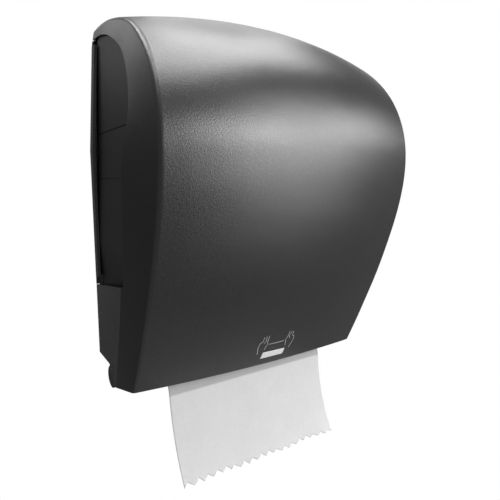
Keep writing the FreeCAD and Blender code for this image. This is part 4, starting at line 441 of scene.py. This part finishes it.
def tooth_cut(u):
    """How far the cut edge stands back from the tips: one uneven zigzag for each tooth."""
    place = u * TEETH + 0.5
    tooth = int(min(place, TEETH + 1 - 1e-6))
    swing = abs(2.0 * (place - tooth) - 1.0)
    depth = TOOTH * (0.8 + 0.2 * math.sin(3.7 * tooth + 1.0)) * (1.0 - TOOTH_FADE * u)
    start = TOOTH * TIP_UNEVEN * (1.0 + math.sin(5.1 * tooth)) * min(1.0, 6.0 * u)
    return start + depth * swing


def hanging_towel():
    """The towel's end, from behind the cover's lower edge to its zigzag cut."""
    points = []
    for j in range(DOWN + 1):
        for i in range(ACROSS + 1):
            u = i / ACROSS
            points.append(tail_point(u, (tail_length - tooth_cut(u)) * j / DOWN))
    mesh = mesh_of("hanging_towel", points, grid_faces(ACROSS, DOWN), True)
    obj = new_object("hanging_towel", mesh, "base", TOWEL)
    thicken(obj, TAIL_THICK, 0.0)
    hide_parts("towel_tail")
    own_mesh(obj)


hanging_towel()

# ------------------------------------------------------------------ plate and sign -------
cover_mesh = nodes["cover"].data
cover_tree = BVHTree.FromPolygons([v.co for v in cover_mesh.vertices],
                                  [p.vertices for p in cover_mesh.polygons])
cover_front_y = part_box("cover")[0][1]
front_edge_z = tail_high.z
RAY_START = 0.05            # how far in front of the cover a ray starts

# Corners in x and in height above the cover's lower edge.
PLATE_CORNERS = [(-0.0054, 0.0096), (0.0266, 0.0096), (0.0272, 0.0172), (-0.0044, 0.0179)]
PLATE_LIFT = 0.5 * MM
PLATE_THICK = 0.8 * MM
PLATE_ACROSS, PLATE_UP = 12, 2
PLATE_SOFT = 0.25 * MM

SIGN_X = 0.0105
SIGN_Z = 0.029
STROKE_WIDTH = 0.7 * MM
STROKE_LIFT = 0.12 * MM
STROKE_STEP = 1.5 * MM


def on_front(x, height, lift):
    """A point of the cover's front at x and height above its lower edge, raised by lift."""
    start = Vector((x, cover_front_y - RAY_START, front_edge_z + height))
    hit, normal, _, _ = cover_tree.ray_cast(start, Vector((0, 1, 0)))
    if normal.y > 0:
        normal = -normal
    return hit + normal * lift


def bare_plate():
    """The blank plate that follows the front between its four corners."""
    (x0, z0), (x1, z1), (x2, z2), (x3, z3) = PLATE_CORNERS
    points = []
    for j in range(PLATE_UP + 1):
        t = j / PLATE_UP
        for i in range(PLATE_ACROSS + 1):
            u = i / PLATE_ACROSS
            x = (x0 + (x1 - x0) * u) * (1 - t) + (x3 + (x2 - x3) * u) * t
            z = (z0 + (z1 - z0) * u) * (1 - t) + (z3 + (z2 - z3) * u) * t
            points.append(on_front(x, z, PLATE_LIFT))
    mesh = mesh_of("bare_plate", points, grid_faces(PLATE_ACROSS, PLATE_UP))
    obj = new_object("bare_plate", mesh, "cover", PLATE_GREY)
    thicken(obj, PLATE_THICK, -1.0)
    soften(obj, PLATE_SOFT)


def sign_line(name, points):
    """One printed stroke that follows the front through points in x and height."""
    dense = []
    for (xa, za), (xb, zb) in zip(points, points[1:]):
        count = max(2, int(math.hypot(xb - xa, zb - za) / STROKE_STEP))
        for k in range(count):
            dense.append((xa + (xb - xa) * k / count, za + (zb - za) * k / count))
    dense.append(points[-1])
    left = []
    right = []
    for k, (x, z) in enumerate(dense):
        ahead = dense[min(k + 1, len(dense) - 1)]
        behind = dense[max(k - 1, 0)]
        along = Vector((ahead[0] - behind[0], ahead[1] - behind[1])).normalized()
        off = Vector((-along.y, along.x)) * STROKE_WIDTH / 2
        left.append(on_front(x + off.x, z + off.y, STROKE_LIFT))
        right.append(on_front(x - off.x, z - off.y, STROKE_LIFT))
    count = len(dense)
    faces = [(k, k + 1, count + k + 1, count + k) for k in range(count - 1)]
    obj = new_object(name, mesh_of(name, left + right, faces), "cover", SIGN_GREY)
    thicken(obj, STROKE_LIFT, -1.0)


def pull_sign():
    """A plain sign of two hands that pull the towel's lower edge down."""
    strokes = [
        ("sleeve", [(0.0225, -0.012), (0.025, -0.0015), (0.024, 0.004), (0.021, 0.0055),
                    (0.0208, 0.0115)]),
        ("finger", [(0.0178, 0.0118), (0.0165, 0.006), (0.0185, 0.002)]),
        ("knuckle", [(0.0144, 0.0124), (0.0142, 0.0055), (0.0125, 0.0005)]),
        ("wrist", [(0.015, -0.0068), (0.0139, -0.0012), (0.0125, 0.0005)])]
    for side, sign in (("left", -1), ("right", 1)):
        for name, points in strokes:
            sign_line("sign_%s_%s" % (name, side),
                      [(SIGN_X + sign * x, SIGN_Z + z) for x, z in points])
    sign_line("sign_towel", [(SIGN_X - 0.0105, SIGN_Z), (SIGN_X + 0.0105, SIGN_Z)])


bare_plate()
pull_sign()

# ------------------------------------------------------------------ side lips ------------
LIP_REAR, LIP_FRONT = -2.4 * MM, -58.0 * MM
LIP_THICK = 1.2 * MM
LIP_SOFT = 0.25 * MM
LIP_STEPS = 22
LIP_ROWS = 3
LIP_BELOW = 9.0 * MM        # how far the lip reaches below the cover's cut edge
LIP_ABOVE = 3.0 * MM        # and how far it goes up behind it
LIP_REAR_GAP = 0.5 * MM     # room under the cover at the lip's rear end
LIP_REAR_X = (0.1412, 0.1392)
LIP_PROBE_Y = -3.0 * MM     # the cut edge is read no nearer to the wall than this

# The wall's outer face: x at a point of it, and how x changes with depth and height.
WALL_X, WALL_Y, WALL_Z = 0.1366, 0.003, 0.168
WALL_BY_DEPTH, WALL_BY_HEIGHT = 0.027, 0.033

# The search for the cut edge: its heights, its step and the least x of the cover's side.
CUT_LOW, CUT_HIGH, CUT_STEP = 0.165, 0.186, 0.25 * MM
CUT_SIDE_X = 0.13
BESIDE = 0.3


def cut_edge(side, y):
    """Height of the cover's cut edge at y, found from the side."""
    z = CUT_LOW
    while z < CUT_HIGH:
        hit = cover_tree.ray_cast(Vector((side * BESIDE, y, z)), Vector((-side, 0, 0)))[0]
        if hit and abs(hit.x) > CUT_SIDE_X:
            return z
        z += CUT_STEP
    return z


def side_lip(name, side):
    """The thin lip of a side wall, which closes the gap behind the cover's cut edge."""
    rear_edge = cut_edge(side, LIP_REAR)
    columns = [(x, LIP_REAR, rear_edge - LIP_BELOW, rear_edge - LIP_REAR_GAP)
               for x in LIP_REAR_X]
    for i in range(LIP_STEPS + 1):
        y = LIP_REAR + (LIP_FRONT - LIP_REAR) * i / LIP_STEPS
        edge = cut_edge(side, min(y, LIP_PROBE_Y))
        columns.append((None, y, edge - LIP_BELOW, edge + LIP_ABOVE))
    points = []
    for x, y, low, high in columns:
        for k in range(LIP_ROWS + 1):
            z = low + (high - low) * k / LIP_ROWS
            lean = WALL_X + WALL_BY_DEPTH * (abs(y) - WALL_Y) - WALL_BY_HEIGHT * (z - WALL_Z)
            points.append((side * (x or lean), y, z))
    faces = grid_faces(LIP_ROWS, len(columns) - 1)
    if side < 0:
        faces = [(a, d, c, b) for a, b, c, d in faces]
    obj = new_object(name, mesh_of(name, points, faces), "base",
                     FINISHES["side_plastic"])
    thicken(obj, LIP_THICK, 0.0)
    soften(obj, LIP_SOFT)


side_lip("side_lip_left", -1)
side_lip("side_lip_right", 1)

# ------------------------------------------------------------------ flange tabs ----------
# Outlines in x and height of the tabs that carry a back plate flange on to the cover's edges.
TAB_OUTLINES = [
    [(0.1500, -0.0830), (0.1500, -0.0932), (0.1496, -0.0936), (0.1455, -0.0936),
     (0.1455, -0.0830)],
    [(0.1430, 0.1720), (0.1422, 0.1786), (0.1394, 0.1786), (0.1400, 0.1720)]]
TAB_Y = -0.7 * MM
TAB_THICK = 1.2 * MM
TAB_SOFT = 0.2 * MM


def flange_tab(name, side):
    """The two thin tabs at the ends of a back plate flange, up to the cover's rear corners."""
    points = []
    faces = []
    for outline in TAB_OUTLINES:
        ring = list(range(len(points), len(points) + len(outline)))
        points += [(side * x, TAB_Y, z) for x, z in outline]
        faces.append(ring if side > 0 else ring[::-1])
    plate_slot = slots["back_plate"]
    obj = new_object(name, mesh_of(name, points, faces), "base",
                     FINISHES[plate_slot])
    thicken(obj, TAB_THICK, 0.0)
    soften(obj, TAB_SOFT)


flange_tab("flange_tab_left", -1)
flange_tab("flange_tab_right", 1)

# ------------------------------------------------------------------ camera ---------------
CAMERA_AT = (-0.2971, -0.5443, 0.02135)
VIEW_AZIMUTH = math.radians(33.85)
VIEW_DOWN = math.radians(7.98)
LENS = 33.3                 # millimetres, on a sensor 36 mm wide
view = Vector((math.sin(VIEW_AZIMUTH) * math.cos(VIEW_DOWN),
               math.cos(VIEW_AZIMUTH) * math.cos(VIEW_DOWN), -math.sin(VIEW_DOWN)))
view_right = view.cross(Vector((0, 0, 1))).normalized()
camera = bpy.data.objects.new("camera", bpy.data.cameras.new("camera"))
bpy.context.scene.collection.objects.link(camera)
camera.location = CAMERA_AT
camera.rotation_euler = view.to_track_quat("-Z", "Y").to_euler()
camera.data.sensor_width = 36.0
camera.data.lens = LENS
camera.data.clip_start = 0.02
bpy.context.scene.camera = camera

# ------------------------------------------------------------------ softboxes ------------
# Each softbox: azimuth to the right of straight ahead and elevation, in degrees, seen from the
# part; width and height in metres; brightness of its face.
SOFTBOXES = [
    ("front key", 26, 19, 0.5, 0.35, 7.8),
    ("front key left", 8, 21, 0.35, 0.3, 6.5),
    ("front wide", 35, 17, 1.3, 0.5, 3.7),
    ("front right", 58, 20, 0.7, 0.5, 4.8),
    ("front left", 10, 12, 0.5, 0.6, 2.2),
    ("front far left", -16, 10, 0.35, 0.9, 1.2),
    ("front level", 35, 4, 1.2, 0.4, 3.9),
    ("front low", 28, -8, 1.3, 0.5, 3.0),
    ("front lower", 35, -22, 1.0, 0.25, 2.6),
    ("front lowest", 30, -35, 1.0, 0.3, 1.0),
    ("front high", 35, 33, 0.9, 0.4, 3.2),
    ("top front", 55, 67, 1.2, 0.45, 2.0),
    ("top", 45, 82, 1.3, 1.0, 5.2),
    ("top right", 100, 56, 1.0, 0.35, 4.2),
    ("top rear right", 140, 66, 0.8, 0.5, 3.8),
    ("top rear", 180, 60, 0.8, 0.5, 1.4),
    ("rear rim", 146, 42, 0.9, 0.3, 2.25),
    ("rear left top", -146, 52, 0.6, 0.3, 9.5),
    ("left top", -120, 65, 0.6, 0.4, 8.0),
    ("left crease", -65, 60, 0.5, 0.35, 7.0),
    ("rear left rim", -157, 29, 0.6, 0.28, 1.5),
    ("rear left low", -157, 18, 0.5, 0.2, 0.5),
]
SOFTBOX_AWAY = 1.8
AIM = Vector((0.0, -0.12, 0.04))


def softbox(name, azimuth, elevation, width, height, brightness):
    """A soft area light that faces the part."""
    a, e = math.radians(azimuth), math.radians(elevation)
    towards = Vector((math.sin(a) * math.cos(e), -math.cos(a) * math.cos(e), math.sin(e)))
    lamp = bpy.data.lights.new(name, "AREA")
    lamp.shape = "RECTANGLE"
    lamp.size = width
    lamp.size_y = height
    lamp.energy = math.pi * width * height * brightness
    obj = bpy.data.objects.new(name, lamp)
    bpy.context.scene.collection.objects.link(obj)
    obj.location = AIM + towards * SOFTBOX_AWAY
    obj.rotation_euler = (-towards).to_track_quat("-Z", "Y").to_euler()


for row in SOFTBOXES:
    softbox(*row)

# ------------------------------------------------------------------ floor and world ------
FLOOR_Z = -2.3
FLOOR_HALF = 2.2
FLOOR_FRONT = -1.0
FLOOR_GREY = 0.5

# The backdrop's half width over its distance, where it is full and where it ends.
BACKDROP_FULL, BACKDROP_END = 0.57, 0.72
BACKDROP_GREY, ROOM_GREY, DARK_GREY = 1.0, 0.25, 0.08

# The dark side of the room lies behind and to the left, low down.
DARK_SIDE = Vector((-0.41, 0.88, -0.25))
DARK_EDGE, DARK_FULL = 0.62, 0.94


def pale_floor():
    """A plain pale floor in front of the wall, which takes the part's shadow."""
    corners = [(-FLOOR_HALF, FLOOR_FRONT, FLOOR_Z), (FLOOR_HALF, FLOOR_FRONT, FLOOR_Z),
               (FLOOR_HALF, 0, FLOOR_Z), (-FLOOR_HALF, 0, FLOOR_Z)]
    mesh = mesh_of("floor", corners, [(0, 1, 2, 3)])
    floor = bpy.data.objects.new("floor", mesh)
    bpy.context.scene.collection.objects.link(floor)
    material, g, shader = new_material("pale floor")
    g.feed(shader, "Base Color", grey(FLOOR_GREY))
    g.feed(shader, "Roughness", 0.9)
    g.feed(shader, "Specular IOR Level", 0.1)
    mesh.materials.append(material)


def studio_world():
    """A white backdrop behind the part as the camera stands, and softly darker elsewhere."""
    world = bpy.data.worlds.new("studio")
    world.use_nodes = True
    bpy.context.scene.world = world
    g = Graph(world.node_tree)
    background = world.node_tree.nodes["Background"]
    towards = g.add("ShaderNodeTexCoord").outputs["Generated"]

    def along(direction):
        return g.vector("DOT_PRODUCT", towards, tuple(direction))["Value"]

    ahead = g.math("MAXIMUM", along(view), 0.001)
    across = g.math("ABSOLUTE", g.math("DIVIDE", along(view_right), ahead))
    upward = g.math("ABSOLUTE", g.math("DIVIDE", along(view_right.cross(view)), ahead))
    backdrop = g.math("MULTIPLY", g.ramp(across, BACKDROP_FULL, BACKDROP_END, 1.0, 0.0),
                      g.ramp(upward, BACKDROP_FULL, BACKDROP_END, 1.0, 0.0))
    dark_side = g.ramp(along(DARK_SIDE), DARK_EDGE, DARK_FULL)
    room = g.mix_colour(dark_side, grey(ROOM_GREY), grey(DARK_GREY))
    g.link(g.mix_colour(backdrop, room, grey(BACKDROP_GREY)), background.inputs["Color"])


pale_floor()
studio_world()
bpy.context.scene.view_settings.view_transform = "Standard"
